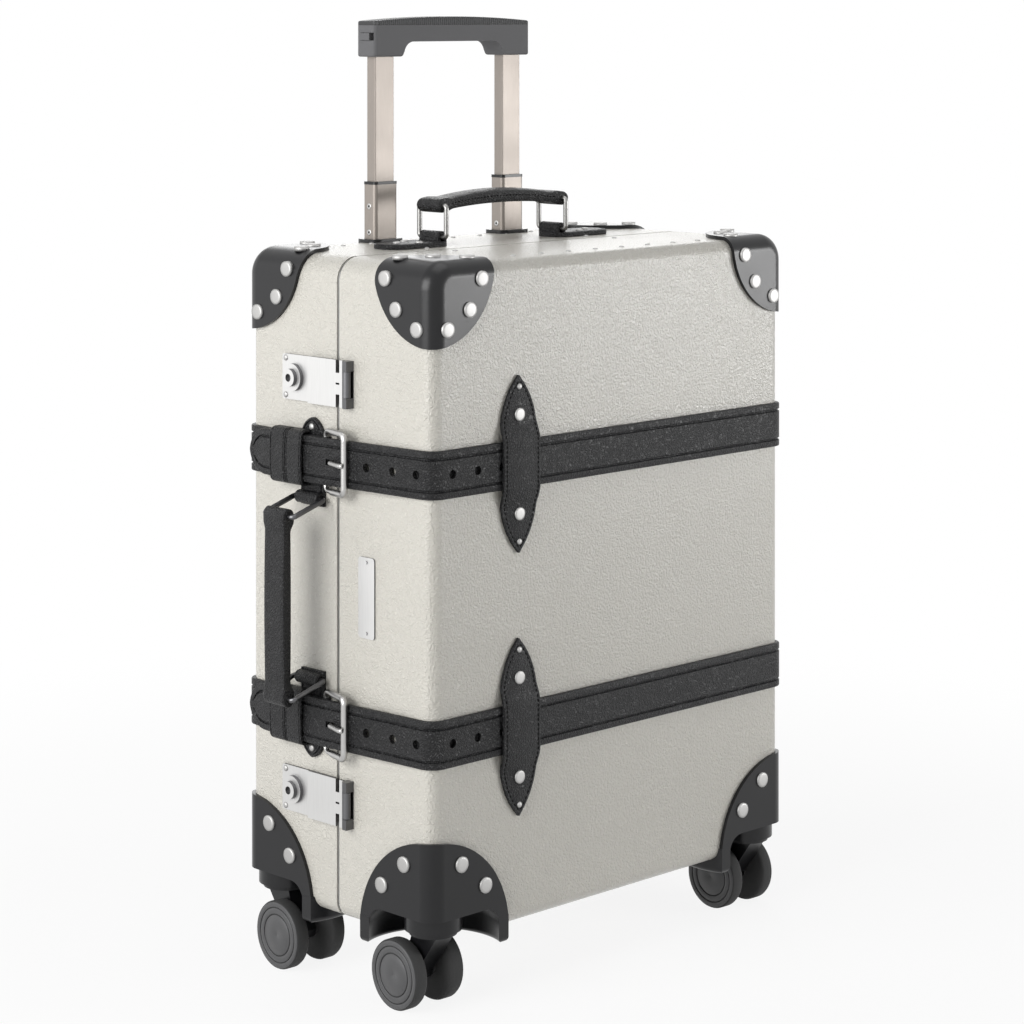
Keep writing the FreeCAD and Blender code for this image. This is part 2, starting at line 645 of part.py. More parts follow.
def keeper(level, side):
    z = STRAP_Z[level]
    half_length = KEEPER_LENGTH / 2
    half_width = KEEPER_WIDTH / 2
    straight = KEEPER_STRAIGHT / 2
    point = half_length - straight
    radius = (half_width ** 2 + point ** 2) / (2 * half_width)
    bulge = math.asin(point / radius) / 2
    mid_x = half_width - radius * (1 - math.cos(bulge))
    mid_z = straight + radius * math.sin(bulge)
    start = V(KEEPER_X, 0, z)
    corners = {key: start + V(x * half_width, 0, up * straight) for key, x, up in
               (("right_top", 1, 1), ("left_top", -1, 1), ("left_low", -1, -1), ("right_low", 1, -1))}
    top = start + V(0, 0, half_length)
    low = start - V(0, 0, half_length)
    outline = outline_prism([
        line(corners["right_low"], corners["right_top"]),
        arc(corners["right_top"], start + V(mid_x, 0, mid_z), top),
        arc(top, start + V(-mid_x, 0, mid_z), corners["left_top"]),
        line(corners["left_top"], corners["left_low"]),
        arc(corners["left_low"], start + V(-mid_x, 0, -mid_z), low),
        arc(low, start + V(mid_x, 0, -mid_z), corners["right_low"]),
    ], V(0, side * BIG, 0))
    clear = STRAP_WIDTH / 2 + LOOSE
    lift = STRAP_THICKNESS + LOOSE
    foot = clear + KEEPER_RAMP / 2
    rise = clear + KEEPER_RAMP
    points = [(-half_length, 0.0), (-foot, 0.0), (-clear, lift), (clear, lift), (foot, 0.0), (half_length, 0.0),
              (half_length, KEEPER_THICKNESS), (rise, KEEPER_THICKNESS),
              (clear, lift + KEEPER_THICKNESS), (-clear, lift + KEEPER_THICKNESS),
              (-rise, KEEPER_THICKNESS), (-half_length, KEEPER_THICKNESS)]
    bridge = prism([V(KEEPER_X - half_width, side * (HALF_DEPTH + out), z + up) for up, out in points],
                   V(KEEPER_WIDTH, 0, 0))
    return bridge.common(outline)


# Buckles

def buckle_frame(level):
    z = STRAP_Z[level]
    heel = left(HEEL_STANDOFF, HEEL_Y, z)
    bar = left(BAR_STANDOFF, BUCKLE_BAR_Y, z)
    along = bar - heel
    loop = wire_loop(along.Length, BUCKLE_HEIGHT, BUCKLE_CORNER, HEEL_BAR_RADIUS)
    thick = wire_loop(along.Length, BUCKLE_HEIGHT, BUCKLE_CORNER, BUCKLE_WIRE_RADIUS)
    thick = thick.common(box(BUCKLE_NECK, BIG, -BIG, BIG, -BIG, BIG))
    return place(loop.fuse(thick).removeSplitter(), heel, along.normalize(), V(0, 0, 1))


def buckle_prong(level):
    z = STRAP_Z[level]
    heel = left(HEEL_STANDOFF, HEEL_Y, z)
    over_bar = BAR_STANDOFF + BUCKLE_WIRE_RADIUS + 2 * LOOSE + PRONG_RADIUS
    crest = left(over_bar, BUCKLE_BAR_Y, z)
    tip = left(over_bar, BUCKLE_BAR_Y - PRONG_OVERHANG, z)
    rise = left(HEEL_STANDOFF, PRONG_RISE_Y, z)
    knee = left(tongue_standoff(PRONG_KNEE_Y) + STRAP_THICKNESS + LOOSE + PRONG_RADIUS, PRONG_KNEE_Y, z)
    half_eye = V(0, 0, PRONG_EYE_WIDTH / 2)
    eye = rod(heel - half_eye, heel + half_eye, PRONG_EYE_RADIUS)
    bore = rod(heel - half_eye, heel + half_eye, HEEL_BAR_RADIUS + PIVOT_CLEARANCE)
    bends = (heel, rise, knee, crest, tip)
    parts = [rod(a, b, PRONG_RADIUS) for a, b in zip(bends, bends[1:])]
    parts += [Part.makeSphere(PRONG_RADIUS, point) for point in bends[1:]]
    return eye.fuse(parts).removeSplitter().cut(bore)


# Locks and hasps

def lock_plate(level):
    z = LOCK_Z[level]
    plate = box(-HALF_WIDTH - LOCK_THICKNESS, -HALF_WIDTH, LOCK_START_Y, LOCK_END_Y,
                z - LOCK_HEIGHT / 2, z + LOCK_HEIGHT / 2)
    plate = plate.makeFillet(LOCK_CORNER, [e for e in edges_along(plate, V(1, 0, 0))
                                           if e.Vertexes[0].Y > LOCK_START_Y + LOCK_CORNER])
    top = left(LOCK_THICKNESS + BOSS_HEIGHT, BUTTON_Y, z)
    boss = rod(left(0, BUTTON_Y, z), top, BOSS_RADIUS)
    bore = rod(left(0, BUTTON_Y, z), top, BUTTON_RADIUS + PIVOT_CLEARANCE)
    return plate.fuse(boss).removeSplitter().cut(bore)


def lock_button(level):
    z = LOCK_Z[level]
    top = LOCK_THICKNESS + BOSS_HEIGHT + BUTTON_PROUD
    body = rod(left(BUTTON_TRAVEL + LOOSE, BUTTON_Y, z), left(top, BUTTON_Y, z), BUTTON_RADIUS)
    keyhole = rod(left(top - KEYHOLE_DEPTH, BUTTON_Y, z), left(top, BUTTON_Y, z), KEYHOLE_RADIUS)
    return body.cut(keyhole)


def hasp_leaf(level):
    z = LOCK_Z[level]
    half_height = HASP_HEIGHT / 2
    axis = left(HASP_PIVOT_STANDOFF, HASP_PIVOT_Y, z)
    middle = HASP_KNUCKLE / 2 + LOOSE
    near = HASP_PIVOT_Y - BARREL_RADIUS
    plate = box(axis.x, -HALF_WIDTH, near, HASP_PIVOT_Y + BARREL_RADIUS, z - half_height, z + half_height)
    corner = box(axis.x - BARREL_RADIUS, -HALF_WIDTH, near, HASP_PIVOT_Y, z - half_height, z + half_height)
    barrel = rod(axis - V(0, 0, half_height), axis + V(0, 0, half_height), BARREL_RADIUS)
    gap = box(-BIG, -HALF_WIDTH - HASP_PIVOT_STANDOFF + BARREL_RADIUS + LOOSE, -BIG, BIG, z - middle, z + middle)
    bore = rod(axis - V(0, 0, half_height), axis + V(0, 0, half_height), HASP_PIN_RADIUS + PIN_SEAT_CLEARANCE)
    pin = rod(axis - V(0, 0, half_height), axis + V(0, 0, half_height), HASP_PIN_RADIUS)
    return [plate.fuse([corner, barrel]).removeSplitter().cut([gap, bore]), pin]


def hasp(level):
    z = LOCK_Z[level]
    half_height = HASP_HEIGHT / 2
    axis = left(HASP_PIVOT_STANDOFF, HASP_PIVOT_Y, z)
    inner = LOCK_THICKNESS + LOOSE
    free_y = HASP_PIVOT_Y + BARREL_RADIUS + 2 * LOOSE
    plate = box(-HALF_WIDTH - inner - HASP_THICKNESS, -HALF_WIDTH - inner, free_y, HASP_END_Y,
                z - half_height, z + half_height)
    cuts = ((half_height - NOTCH_DEPTH / 2, NOTCH_DEPTH), (NOTCH_DEPTH / 2 - half_height, NOTCH_DEPTH),
            (0.0, HASP_SLOT_HEIGHT))
    notches = [box(-BIG, 0, NOTCH_Y - NOTCH_WIDTH / 2, NOTCH_Y + NOTCH_WIDTH / 2,
                   z + middle - height / 2, z + middle + height / 2) for middle, height in cuts]
    web = box(-HALF_WIDTH - inner - HASP_THICKNESS, -HALF_WIDTH - inner, HASP_PIVOT_Y, free_y,
              z - HASP_KNUCKLE / 2, z + HASP_KNUCKLE / 2)
    half_knuckle = V(0, 0, HASP_KNUCKLE / 2)
    barrel = rod(axis - half_knuckle, axis + half_knuckle, BARREL_RADIUS)
    bore = rod(axis - half_knuckle, axis + half_knuckle, HASP_PIN_RADIUS + PIVOT_CLEARANCE)
    return plate.cut(notches).fuse([web, barrel]).removeSplitter().cut(bore)


# Hinges on the far side

def hinge_leaf(level, side):
    z = LOCK_Z[level]
    half_height = HINGE_HEIGHT / 2
    middle = HINGE_KNUCKLE / 2
    clear_y = side * (BARREL_RADIUS + 2 * LOOSE)
    end_y = side * HINGE_LEAF_LENGTH
    thickness = HALF_WIDTH + HINGE_LEAF_THICKNESS
    plate = box(HALF_WIDTH, thickness, min(clear_y, end_y), max(clear_y, end_y), z - half_height, z + half_height)
    spans = [(-middle + LOOSE, middle - LOOSE)] if side == LID else [(-half_height, -middle), (middle, half_height)]
    pieces = []
    bores = []
    for low, high in spans:
        foot = V(HINGE_AXIS_X, 0, z + low)
        top = V(HINGE_AXIS_X, 0, z + high)
        pieces.append(box(HALF_WIDTH, thickness, min(0, clear_y), max(0, clear_y), z + low, z + high))
        pieces.append(rod(foot, top, BARREL_RADIUS))
        clearance = PIVOT_CLEARANCE if side == LID else PIN_SEAT_CLEARANCE
        bores.append(rod(foot, top, HINGE_PIN_RADIUS + clearance))
    return plate.fuse(pieces).removeSplitter().cut(bores)


def hinge_pin(level):
    foot = V(HINGE_AXIS_X, 0, LOCK_Z[level] - HINGE_HEIGHT / 2)
    return rod(foot, foot + V(0, 0, HINGE_HEIGHT), HINGE_PIN_RADIUS)


# Name plate with its two pins

def name_plate():
    plate = box(-HALF_WIDTH - PLATE_THICKNESS, -HALF_WIDTH, PLATE_Y - PLATE_WIDTH / 2, PLATE_Y + PLATE_WIDTH / 2,
                PLATE_Z - PLATE_HEIGHT / 2, PLATE_Z + PLATE_HEIGHT / 2)
    plate = plate.makeFillet(PLATE_CORNER, edges_along(plate, V(1, 0, 0)))
    pins = [rivet(left(PLATE_THICKNESS, PLATE_Y, PLATE_Z + up * PLATE_PIN_PITCH / 2), V(-1, 0, 0),
                  PLATE_PIN_RADIUS, PLATE_PIN_PROUD) for up in (-1, 1)]
    return group([plate] + pins)


# Handles

def top_mount(x_side):
    middle = (TOP_PLATE_INNER + TOP_PLATE_OUTER) / 2
    plate = rounded_bar(x_side * middle, TOP_Y, TOP_PLATE_OUTER - TOP_PLATE_INNER, TOP_PLATE_WIDTH,
                        TOP_PLATE_ROUND, SHELL_TOP, SHELL_TOP + TOP_PLATE_THICKNESS)
    start = V(x_side * TOP_LOOP_X, TOP_Y - TOP_TAB_WIDTH / 2, TOP_PIVOT_Z)
    end = start + V(0, TOP_TAB_WIDTH, 0)
    roll = rod(start, end, TAB_RADIUS)
    neck = box(start.x - TAB_RADIUS, start.x + TAB_RADIUS, start.y, end.y, SHELL_TOP, TOP_PIVOT_Z)
    return plate.fuse([roll, neck]).removeSplitter().cut(rod(start, end, LOOP_GRIP_RADIUS))


def top_loop(x_side):
    loop = wire_loop(TOP_LOOP_HEIGHT, TOP_LOOP_WIDTH, LOOP_CORNER, LOOP_WIRE_RADIUS)
    return place(loop, V(x_side * TOP_LOOP_X, TOP_Y, TOP_PIVOT_Z), V(0, 0, 1), V(0, 1, 0))


# Side of a grip between two points, bowed upwards or straight
def bow(start, end, rise):
    if rise == 0:
        return line(start, end)
    return arc(start, (start + end) / 2 + V(0, 0, rise), end)


# Leather grip in the local xz plane with a bar at each end of its length
def leather_grip(length, width, rise, loose_end):
    half = length / 2
    thick = GRIP_THICKNESS / 2
    profile = outline_prism([
        bow(V(-half, -width / 2, thick), V(half, -width / 2, thick), rise),
        arc(V(half, -width / 2, thick), V(half + thick, -width / 2, 0), V(half, -width / 2, -thick)),
        bow(V(half, -width / 2, -thick), V(-half, -width / 2, -thick), rise),
        arc(V(-half, -width / 2, -thick), V(-half - thick, -width / 2, 0), V(-half, -width / 2, thick)),
    ], V(0, width, 0))
    rims = [e for e in profile.Edges if all(abs(abs(v.Y) - width / 2) < 1e-6 for v in e.Vertexes)]
    body = profile.makeFillet(GRIP_EDGE, rims)
    bores = [rod(V(-loose_end * half, -width, 0), V(-loose_end * half, width, 0), LOOP_GRIP_RADIUS),
             rod(V(loose_end * half, -width, 0), V(loose_end * half, width, 0), LOOP_WIRE_RADIUS + GRIP_LOOSE)]
    return body.cut(bores)


def top_grip():
    grip = leather_grip(2 * TOP_LOOP_X, TOP_GRIP_WIDTH, TOP_GRIP_RISE, 1)
    return place(grip, V(0, TOP_Y, TOP_BAR_Z), V(1, 0, 0), V(0, 1, 0))


def side_mount(level, up):
    pivot_z = SIDE_PIVOT_Z[level]
    tip_z = STRAP_Z[level] + up * SIDE_PLATE_TIP
    shoulder_z = tip_z - up * SIDE_PLATE_POINT
    foot_z = pivot_z - up * SIDE_PLATE_END
    near = SIDE_Y - SIDE_PLATE_WIDTH / 2
    far = SIDE_Y + SIDE_PLATE_WIDTH / 2
    swell = SIDE_POINT_BELLY[0] * SIDE_PLATE_WIDTH
    mid_z = shoulder_z + up * SIDE_POINT_BELLY[1] * SIDE_PLATE_POINT
    plate = outline_prism([
        line(left(0, near, foot_z), left(0, near, shoulder_z)),
        arc(left(0, near, shoulder_z), left(0, SIDE_Y - swell, mid_z), left(0, SIDE_Y, tip_z)),
        arc(left(0, SIDE_Y, tip_z), left(0, SIDE_Y + swell, mid_z), left(0, far, shoulder_z)),
        line(left(0, far, shoulder_z), left(0, far, foot_z)),
        line(left(0, far, foot_z), left(0, near, foot_z)),
    ], V(-SIDE_PLATE_THICKNESS, 0, 0))
    start = left(SIDE_PIVOT_STANDOFF, SIDE_Y - SIDE_TAB_WIDTH / 2, pivot_z)
    end = start + V(0, SIDE_TAB_WIDTH, 0)
    roll = rod(start, end, TAB_RADIUS)
    neck = box(start.x, -HALF_WIDTH, start.y, end.y, pivot_z - TAB_RADIUS, pivot_z + TAB_RADIUS)
    return plate.fuse([roll, neck]).removeSplitter().cut(rod(start, end, LOOP_GRIP_RADIUS))


def side_loop(level):
    loop = wire_loop(SIDE_LOOP_REACH, SIDE_LOOP_WIDTH, LOOP_CORNER, LOOP_WIRE_RADIUS)
    droop = math.radians(SIDE_DROOP)
    out = V(-math.cos(droop), 0, -math.sin(droop))
    return place(loop, left(SIDE_PIVOT_STANDOFF, SIDE_Y, SIDE_PIVOT_Z[level]), out, V(0, 1, 0))


def side_grip():
    length = SIDE_PIVOT_Z["upper"] - SIDE_PIVOT_Z["lower"]
    middle = (SIDE_PIVOT_Z["upper"] + SIDE_PIVOT_Z["lower"]) / 2 - SIDE_BAR_DROP
    grip = leather_grip(length, SIDE_GRIP_WIDTH, SIDE_GRIP_RISE, 1)
    return place(grip, left(SIDE_BAR_REACH, SIDE_Y, middle), V(0, 0, -1), V(0, 1, 0))


# Trolley handle

def trolley_cover():
    depth_back = HALF_DEPTH - WALL - LOOSE - LINING_THICKNESS - LOOSE
    front = TUBE_Y - MIDDLE_DEPTH / 2 - OUTER_GROW - COVER_GAP
    room = case_block(-WALL - 2 * LOOSE - LINING_THICKNESS)
    outer = box(-COVER_HALF_WIDTH, COVER_HALF_WIDTH, front - COVER_THICKNESS, depth_back, -BIG, BIG)
    inner = box(COVER_THICKNESS - COVER_HALF_WIDTH, COVER_HALF_WIDTH - COVER_THICKNESS, front, BIG, -BIG, BIG)
    return outer.cut(inner).common(room)


def outer_tubes():
    return group(tube_pair(OUTER_GROW, OUTER_WALL, OUTER_TUBE_FOOT, SHELL_TOP))


def bezels():
    solids = []
    for s in (-1, 1):
        pad = tube_block(s, BEZEL_BORDER + LOOSE, SHELL_TOP - BEZEL_SKIRT, SHELL_TOP + BEZEL_HEIGHT)
        hole = tube_block(s, LOOSE, SHELL_TOP - BEZEL_SKIRT, SHELL_TOP + BEZEL_HEIGHT)
        foot = tube_block(s, OUTER_GROW + LOOSE, SHELL_TOP - BEZEL_SKIRT, SHELL_TOP + LOOSE)
        solids.append(pad.cut([case_block(0.0), hole, foot]))
    return group(solids)


def middle_tubes():
    return group(tube_pair(0.0, MIDDLE_WALL, MIDDLE_TOP - MIDDLE_LENGTH, MIDDLE_TOP))


def collars():
    return group([tube_block(s, COLLAR_LIP, MIDDLE_TOP, COLLAR_TOP).cut(
                  tube_block(s, -MIDDLE_WALL, MIDDLE_TOP, COLLAR_TOP)) for s in (-1, 1)])


def inner_tubes():
    top = GRIP_LEG_BOTTOM + GRIP_SOCKET_DEPTH - LOOSE
    return group(tube_pair(INNER_GROW, INNER_WALL, top - INNER_LENGTH, top))


def grip_plan(z0, z1):
    return rounded_bar(0, TUBE_Y, 2 * GRIP_HALF, GRIP_DEPTH, GRIP_CORNER, z0, z1)


# Slot in the end of the grip, or the tab that slides in it towards the front
def tab_block(x_side, grow, travel):
    back = TUBE_Y + TAB_LENGTH / 2 + grow
    front = TUBE_Y - TAB_LENGTH / 2 - grow - travel
    inner = x_side * (GRIP_HALF - TAB_DEPTH - grow)
    outer = x_side * (GRIP_HALF + TAB_PROUD)
    return box(min(inner, outer), max(inner, outer), front, back,
               TAB_Z - TAB_HEIGHT / 2 - grow, TAB_Z + TAB_HEIGHT / 2 + grow)


def trolley_grip():
    back = TUBE_Y + GRIP_DEPTH / 2
    def at(x, z):
        return V(x, back, z)

    lower = []
    for s in (1, -1):
        knee = at(s * (GRIP_ARCH_HALF + 0.8 * GRIP_BEND_WIDTH), GRIP_LEG_BOTTOM + 0.35 * GRIP_LEG_LENGTH)
        round_by = at(s * (GRIP_ARCH_HALF + 0.55 * GRIP_BEND_WIDTH), GRIP_LEG_BOTTOM + 0.78 * GRIP_LEG_LENGTH)
        lower.append([line(at(s * GRIP_LEG_INNER, GRIP_LEG_BOTTOM), knee),
                      arc(knee, round_by, at(s * GRIP_ARCH_HALF, GRIP_ARCH))])
    edges = [line(at(GRIP_HALF, GRIP_SEAM), at(GRIP_HALF, GRIP_LEG_BOTTOM)),
             line(at(GRIP_HALF, GRIP_LEG_BOTTOM), at(GRIP_LEG_INNER, GRIP_LEG_BOTTOM)),
             lower[0][0], lower[0][1],
             line(at(GRIP_ARCH_HALF, GRIP_ARCH), at(-GRIP_ARCH_HALF, GRIP_ARCH)),
             lower[1][1], lower[1][0],
             line(at(-GRIP_LEG_INNER, GRIP_LEG_BOTTOM), at(-GRIP_HALF, GRIP_LEG_BOTTOM)),
             line(at(-GRIP_HALF, GRIP_LEG_BOTTOM), at(-GRIP_HALF, GRIP_SEAM)),
             line(at(-GRIP_HALF, GRIP_SEAM), at(GRIP_HALF, GRIP_SEAM))]
    body = outline_prism(Part.__sortEdges__(edges), V(0, -GRIP_DEPTH, 0))
    body = body.common(grip_plan(GRIP_LEG_BOTTOM, GRIP_SEAM))
    feet = [e for e in body.Edges if all(abs(v.Z - GRIP_LEG_BOTTOM) < LOOSE for v in e.Vertexes)]
    body = body.makeFillet(GRIP_FOOT_ROUND, feet)
    sockets = [tube_block(s, INNER_GROW + PIVOT_CLEARANCE, GRIP_LEG_BOTTOM, GRIP_LEG_BOTTOM + GRIP_SOCKET_DEPTH)
               for s in (-1, 1)]
    slots = [tab_block(s, LOOSE, TAB_TRAVEL) for s in (-1, 1)]
    return body.cut(sockets + slots)


def grip_cap():
    back = TUBE_Y + GRIP_DEPTH / 2
    corners = [V(s * GRIP_HALF, back, z) for s, z in ((-1, GRIP_SEAM), (1, GRIP_SEAM),
                                                      (1, GRIP_END_TOP), (-1, GRIP_END_TOP))]
    profile = outline_prism([
        line(corners[0], corners[1]),
        line(corners[1], corners[2]),
        arc(corners[2], V(0, back, GRIP_CROWN), corners[3]),
        line(corners[3], corners[0]),
    ], V(0, -GRIP_DEPTH, 0))
    cap = profile.common(grip_plan(GRIP_SEAM, GRIP_CROWN))
    crown = [e for e in cap.Edges if all(v.Z > GRIP_SEAM + LOOSE for v in e.Vertexes)]
    return cap.makeFillet(GRIP_EDGE_ROUND, crown)


# Casters, built with the swivel axis on z and the wheels trailing along +y

def set_caster(shape, name):
    x_side, y_side = CASTERS[name]
    turned = shape.copy()
    turned.rotate(V(0, 0, 0), V(0, 0, 1), CASTER_TURN[name])
    turned.translate(swivel_axis(x_side, y_side))
    return turned


def caster_fork():
    top = SOCKET_BOTTOM - LOOSE
    under = top - FLANGE_THICKNESS
    flange = Part.makeCylinder(FLANGE_RADIUS, FLANGE_THICKNESS, V(0, 0, under))
    stem = Part.makeCylinder(STEM_RADIUS, STEM_LENGTH, V(0, 0, top))
    x = -FORK_WIDTH / 2
    axle_y = TRAIL
    z = WHEEL_RADIUS
    arm = outline_prism([
        line(V(x, -FORK_NECK, under), V(x, FORK_NECK, under)),
        line(V(x, FORK_NECK, under), V(x, axle_y + FORK_BOSS_RADIUS, z)),
        arc(V(x, axle_y + FORK_BOSS_RADIUS, z), V(x, axle_y, z - FORK_BOSS_RADIUS),
            V(x, axle_y - FORK_BOSS_RADIUS, z)),
        line(V(x, axle_y - FORK_BOSS_RADIUS, z), V(x, -FORK_NECK, under)),
    ], V(FORK_WIDTH, 0, 0))
    bore = rod(V(x, axle_y, z), V(-x, axle_y, z), AXLE_RADIUS + PIVOT_CLEARANCE)
    return flange.fuse([stem, arm]).removeSplitter().cut(bore)


def caster_wheels():
    outer = WHEEL_SPAN / 2
    inner = outer - WHEEL_WIDTH
    hub = FORK_WIDTH / 2 + LOOSE
    edge = WHEEL_EDGE_RADIUS
    bend = edge * (1 - math.sqrt(0.5))
    bore = AXLE_RADIUS + PIN_SEAT_CLEARANCE
    z = WHEEL_RADIUS

    def at(x, radius):
        return V(x, TRAIL, z + radius)

    face = [at(outer, z - edge)]
    for groove in GROOVE_RADII:
        high = groove + GROOVE_WIDTH / 2
        low = groove - GROOVE_WIDTH / 2
        face += [at(outer, high), at(outer - GROOVE_DEPTH, high), at(outer - GROOVE_DEPTH, low), at(outer, low)]
    face.append(at(outer, bore))
    section = Part.Face(Part.Wire([
        line(at(hub, bore), at(hub, HUB_RADIUS)),
        line(at(hub, HUB_RADIUS), at(inner, HUB_RADIUS)),
        line(at(inner, HUB_RADIUS), at(inner, z - edge)),
        arc(at(inner, z - edge), at(inner + bend, z - bend), at(inner + edge, z)),
        line(at(inner + edge, z), at(outer - edge, z)),
        arc(at(outer - edge, z), at(outer - bend, z - bend), at(outer, z - edge)),
    ] + [line(a, b) for a, b in zip(face, face[1:])] + [
        line(at(outer, bore), at(hub, bore)),
    ]))
    right = section.revolve(at(0, 0), V(1, 0, 0), 360)
    other = right.mirror(V(0, 0, 0), V(1, 0, 0))
    axle = rod(at(LOOSE - outer, 0), at(outer - LOOSE, 0), AXLE_RADIUS)
    return group([right, other, axle])


# All pieces, one file each

def build_nodes():
    levels = ("upper", "lower")
    nodes = {
        "base_shell": shell(BASE),
        "base_rim": closing_rim(),
        "base_lining": lining(BASE),
        "lid_shell": shell(LID),
        "lid_lining": lining(LID),
        "base_rivets": group(cap_rivets(BASE) + keeper_rivets(BASE) + mount_rivets()),
        "lid_rivets": group(cap_rivets(LID) + keeper_rivets(LID)),
        "base_straps": group([f(level) for level in levels for f in (base_strap, strap_tail)]),
        "lid_straps": group([lid_strap(level) for level in levels]),
        "strap_hinge_spans": group([hinge_span(level) for level in levels]),
        "base_strap_keepers": group([keeper(level, BASE) for level in levels]
                                    + [loop_band(level, i) for level in levels for i in (0, 1)]),
        "lid_strap_keepers": group([keeper(level, LID) for level in levels]),
        "lock_plates": group([lock_plate(level) for level in levels]),
        "hasp_leaves": group([solid for level in levels for solid in hasp_leaf(level)]),
        "base_hinge_leaves": group([f for level in levels for f in (hinge_leaf(level, BASE), hinge_pin(level))]),
        "lid_hinge_leaves": group([hinge_leaf(level, LID) for level in levels]),
        "name_plate": name_plate(),
        "top_handle_mounts": group([top_mount(-1), top_mount(1)]),
        "top_handle_loop_left": top_loop(-1),
        "top_handle_loop_right": top_loop(1),
        "top_handle_grip": top_grip(),
        "side_handle_mounts": group([side_mount("upper", 1), side_mount("lower", -1)]),
        "side_handle_grip": side_grip(),
        "trolley_outer_tubes": outer_tubes(),
        "trolley_bezels": bezels(),
        "trolley_cover": trolley_cover(),
        "trolley_middle_tubes": middle_tubes(),
        "trolley_collars": collars(),
        "trolley_inner_tubes": inner_tubes(),
        "trolley_grip": trolley_grip(),
        "trolley_grip_cap": grip_cap(),
        "release_tab_left": tab_block(-1, 0.0, 0.0),
        "release_tab_right": tab_block(1, 0.0, 0.0),
    }
    for level in levels:
        nodes["hasp_" + level] = hasp(level)
        nodes["lock_button_" + level] = lock_button(level)
        nodes["buckle_frame_" + level] = buckle_frame(level)
        nodes["buckle_prong_" + level] = buckle_prong(level)
        nodes["side_handle_loop_" + level] = side_loop(level)
    fork = caster_fork()
    wheels = caster_wheels()
    for name, (x_side, y_side) in CASTERS.items():
        nodes["cap_top_" + name] = top_cap(x_side, y_side)
        nodes["cap_bottom_" + name] = bottom_cap(x_side, y_side)
        nodes["caster_fork_" + name] = set_caster(fork, name)
        nodes["caster_wheels_" + name] = set_caster(wheels, name)
    return nodes


def main():
    os.makedirs("parts", exist_ok=True)
    for name, shape in build_nodes().items():
        moved = shape.copy()
        moved.translate(V(CENTRE_X, 0, 0))
        moved.exportStep("parts/" + name + ".step")


main()
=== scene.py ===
"""Looks of an upright cabin suitcase: pebbled board, leather straps, nickel fittings and a trolley handle."""

import json
import logging
import math
from dataclasses import dataclass, field
from enum import Enum

import bmesh
import bpy
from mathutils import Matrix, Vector


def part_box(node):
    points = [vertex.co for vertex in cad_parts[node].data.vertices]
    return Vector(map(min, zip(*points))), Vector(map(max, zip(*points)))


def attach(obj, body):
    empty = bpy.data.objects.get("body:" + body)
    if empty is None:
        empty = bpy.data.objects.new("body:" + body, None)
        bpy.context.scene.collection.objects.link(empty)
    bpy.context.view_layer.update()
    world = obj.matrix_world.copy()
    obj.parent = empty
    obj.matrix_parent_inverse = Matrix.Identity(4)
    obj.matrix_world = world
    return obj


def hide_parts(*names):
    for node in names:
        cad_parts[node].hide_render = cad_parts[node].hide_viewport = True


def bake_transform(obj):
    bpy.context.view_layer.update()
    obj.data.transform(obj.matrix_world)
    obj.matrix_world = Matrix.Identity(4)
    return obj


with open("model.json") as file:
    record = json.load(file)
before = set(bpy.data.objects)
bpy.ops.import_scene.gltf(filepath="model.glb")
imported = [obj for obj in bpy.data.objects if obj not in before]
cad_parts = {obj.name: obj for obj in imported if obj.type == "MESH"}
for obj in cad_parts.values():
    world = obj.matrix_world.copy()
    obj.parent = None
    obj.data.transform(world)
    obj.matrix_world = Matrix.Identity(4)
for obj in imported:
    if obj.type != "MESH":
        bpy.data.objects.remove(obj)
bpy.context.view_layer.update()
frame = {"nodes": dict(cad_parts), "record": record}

log = logging.getLogger("suitcase")
MM = 0.001
SHARP = 40.0
Row = list[Vector]
Run = list[tuple[Vector, Vector]]
Pairs = list[tuple[float, float]]
Colour = tuple[float, float, float]
Thing = bpy.types.Object
Tree = bpy.types.NodeTree
Socket = bpy.types.NodeSocket
Inputs = dict[str | int, object]


def shell_shift() -> float:
    """Returns how far the middle of the shell lies from the frame's origin along x, in millimetres."""
    low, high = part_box("lid_shell")
    return (low[0] + high[0]) / 2 / MM


SHIFT = shell_shift()


def vec(x: float, y: float, z: float) -> Vector:
    """Returns a vector from its three parts."""
    return Vector((x, y, z))


LEFT = vec(-1, 0, 0)
RIGHT = vec(1, 0, 0)
BACK = vec(0, 1, 0)
UP = vec(0, 0, 1)


def to_frame(point: Vector) -> Vector:
    """Returns a point given in millimetres about the middle of the shell, in the frame's metres."""
    return vec((point.x + SHIFT) * MM, point.y * MM, point.z * MM)


class Side(Enum):
    """Halves of the case, with the sign of their side of the split."""

    BASE = 1
    LID = -1

    @property
    def body(self) -> str:
        """Returns the name of the half's body."""
        return self.name.lower()


class Level(Enum):
    """Upper and lower of each pair of fittings on the lock side."""

    UPPER = "upper"
    LOWER = "lower"


# Node trees


def feed(tree: Tree, node: bpy.types.Node, inputs: Inputs) -> None:
    """Sets or links a node's inputs.

    Args:
        tree: The node tree.
        node: The node.
        inputs: Values to set or sockets to link, by the input's name or number.
    """
    for key, given in inputs.items():
        if isinstance(given, Socket):
            tree.links.new(given, node.inputs[key])
        else:
            node.inputs[key].default_value = given


def add(tree: Tree, kind: str, inputs: Inputs, **settings: str) -> bpy.types.Node:
    """Adds a node.

    Args:
        tree: The node tree.
        kind: The node's type.
        inputs: Values to set or sockets to link.
        settings: The node's own settings.

    Returns:
        The node.
    """
    node = tree.nodes.new(kind)
    for label, setting in settings.items():
        setattr(node, label, setting)
    feed(tree, node, inputs)
    return node


def calc(tree: Tree, operation: str, first: Socket, second: Socket | float) -> Socket:
    """Adds a calculation on two numbers and returns its result."""
    return add(tree, "ShaderNodeMath", {0: first, 1: second}, operation=operation).outputs["Value"]


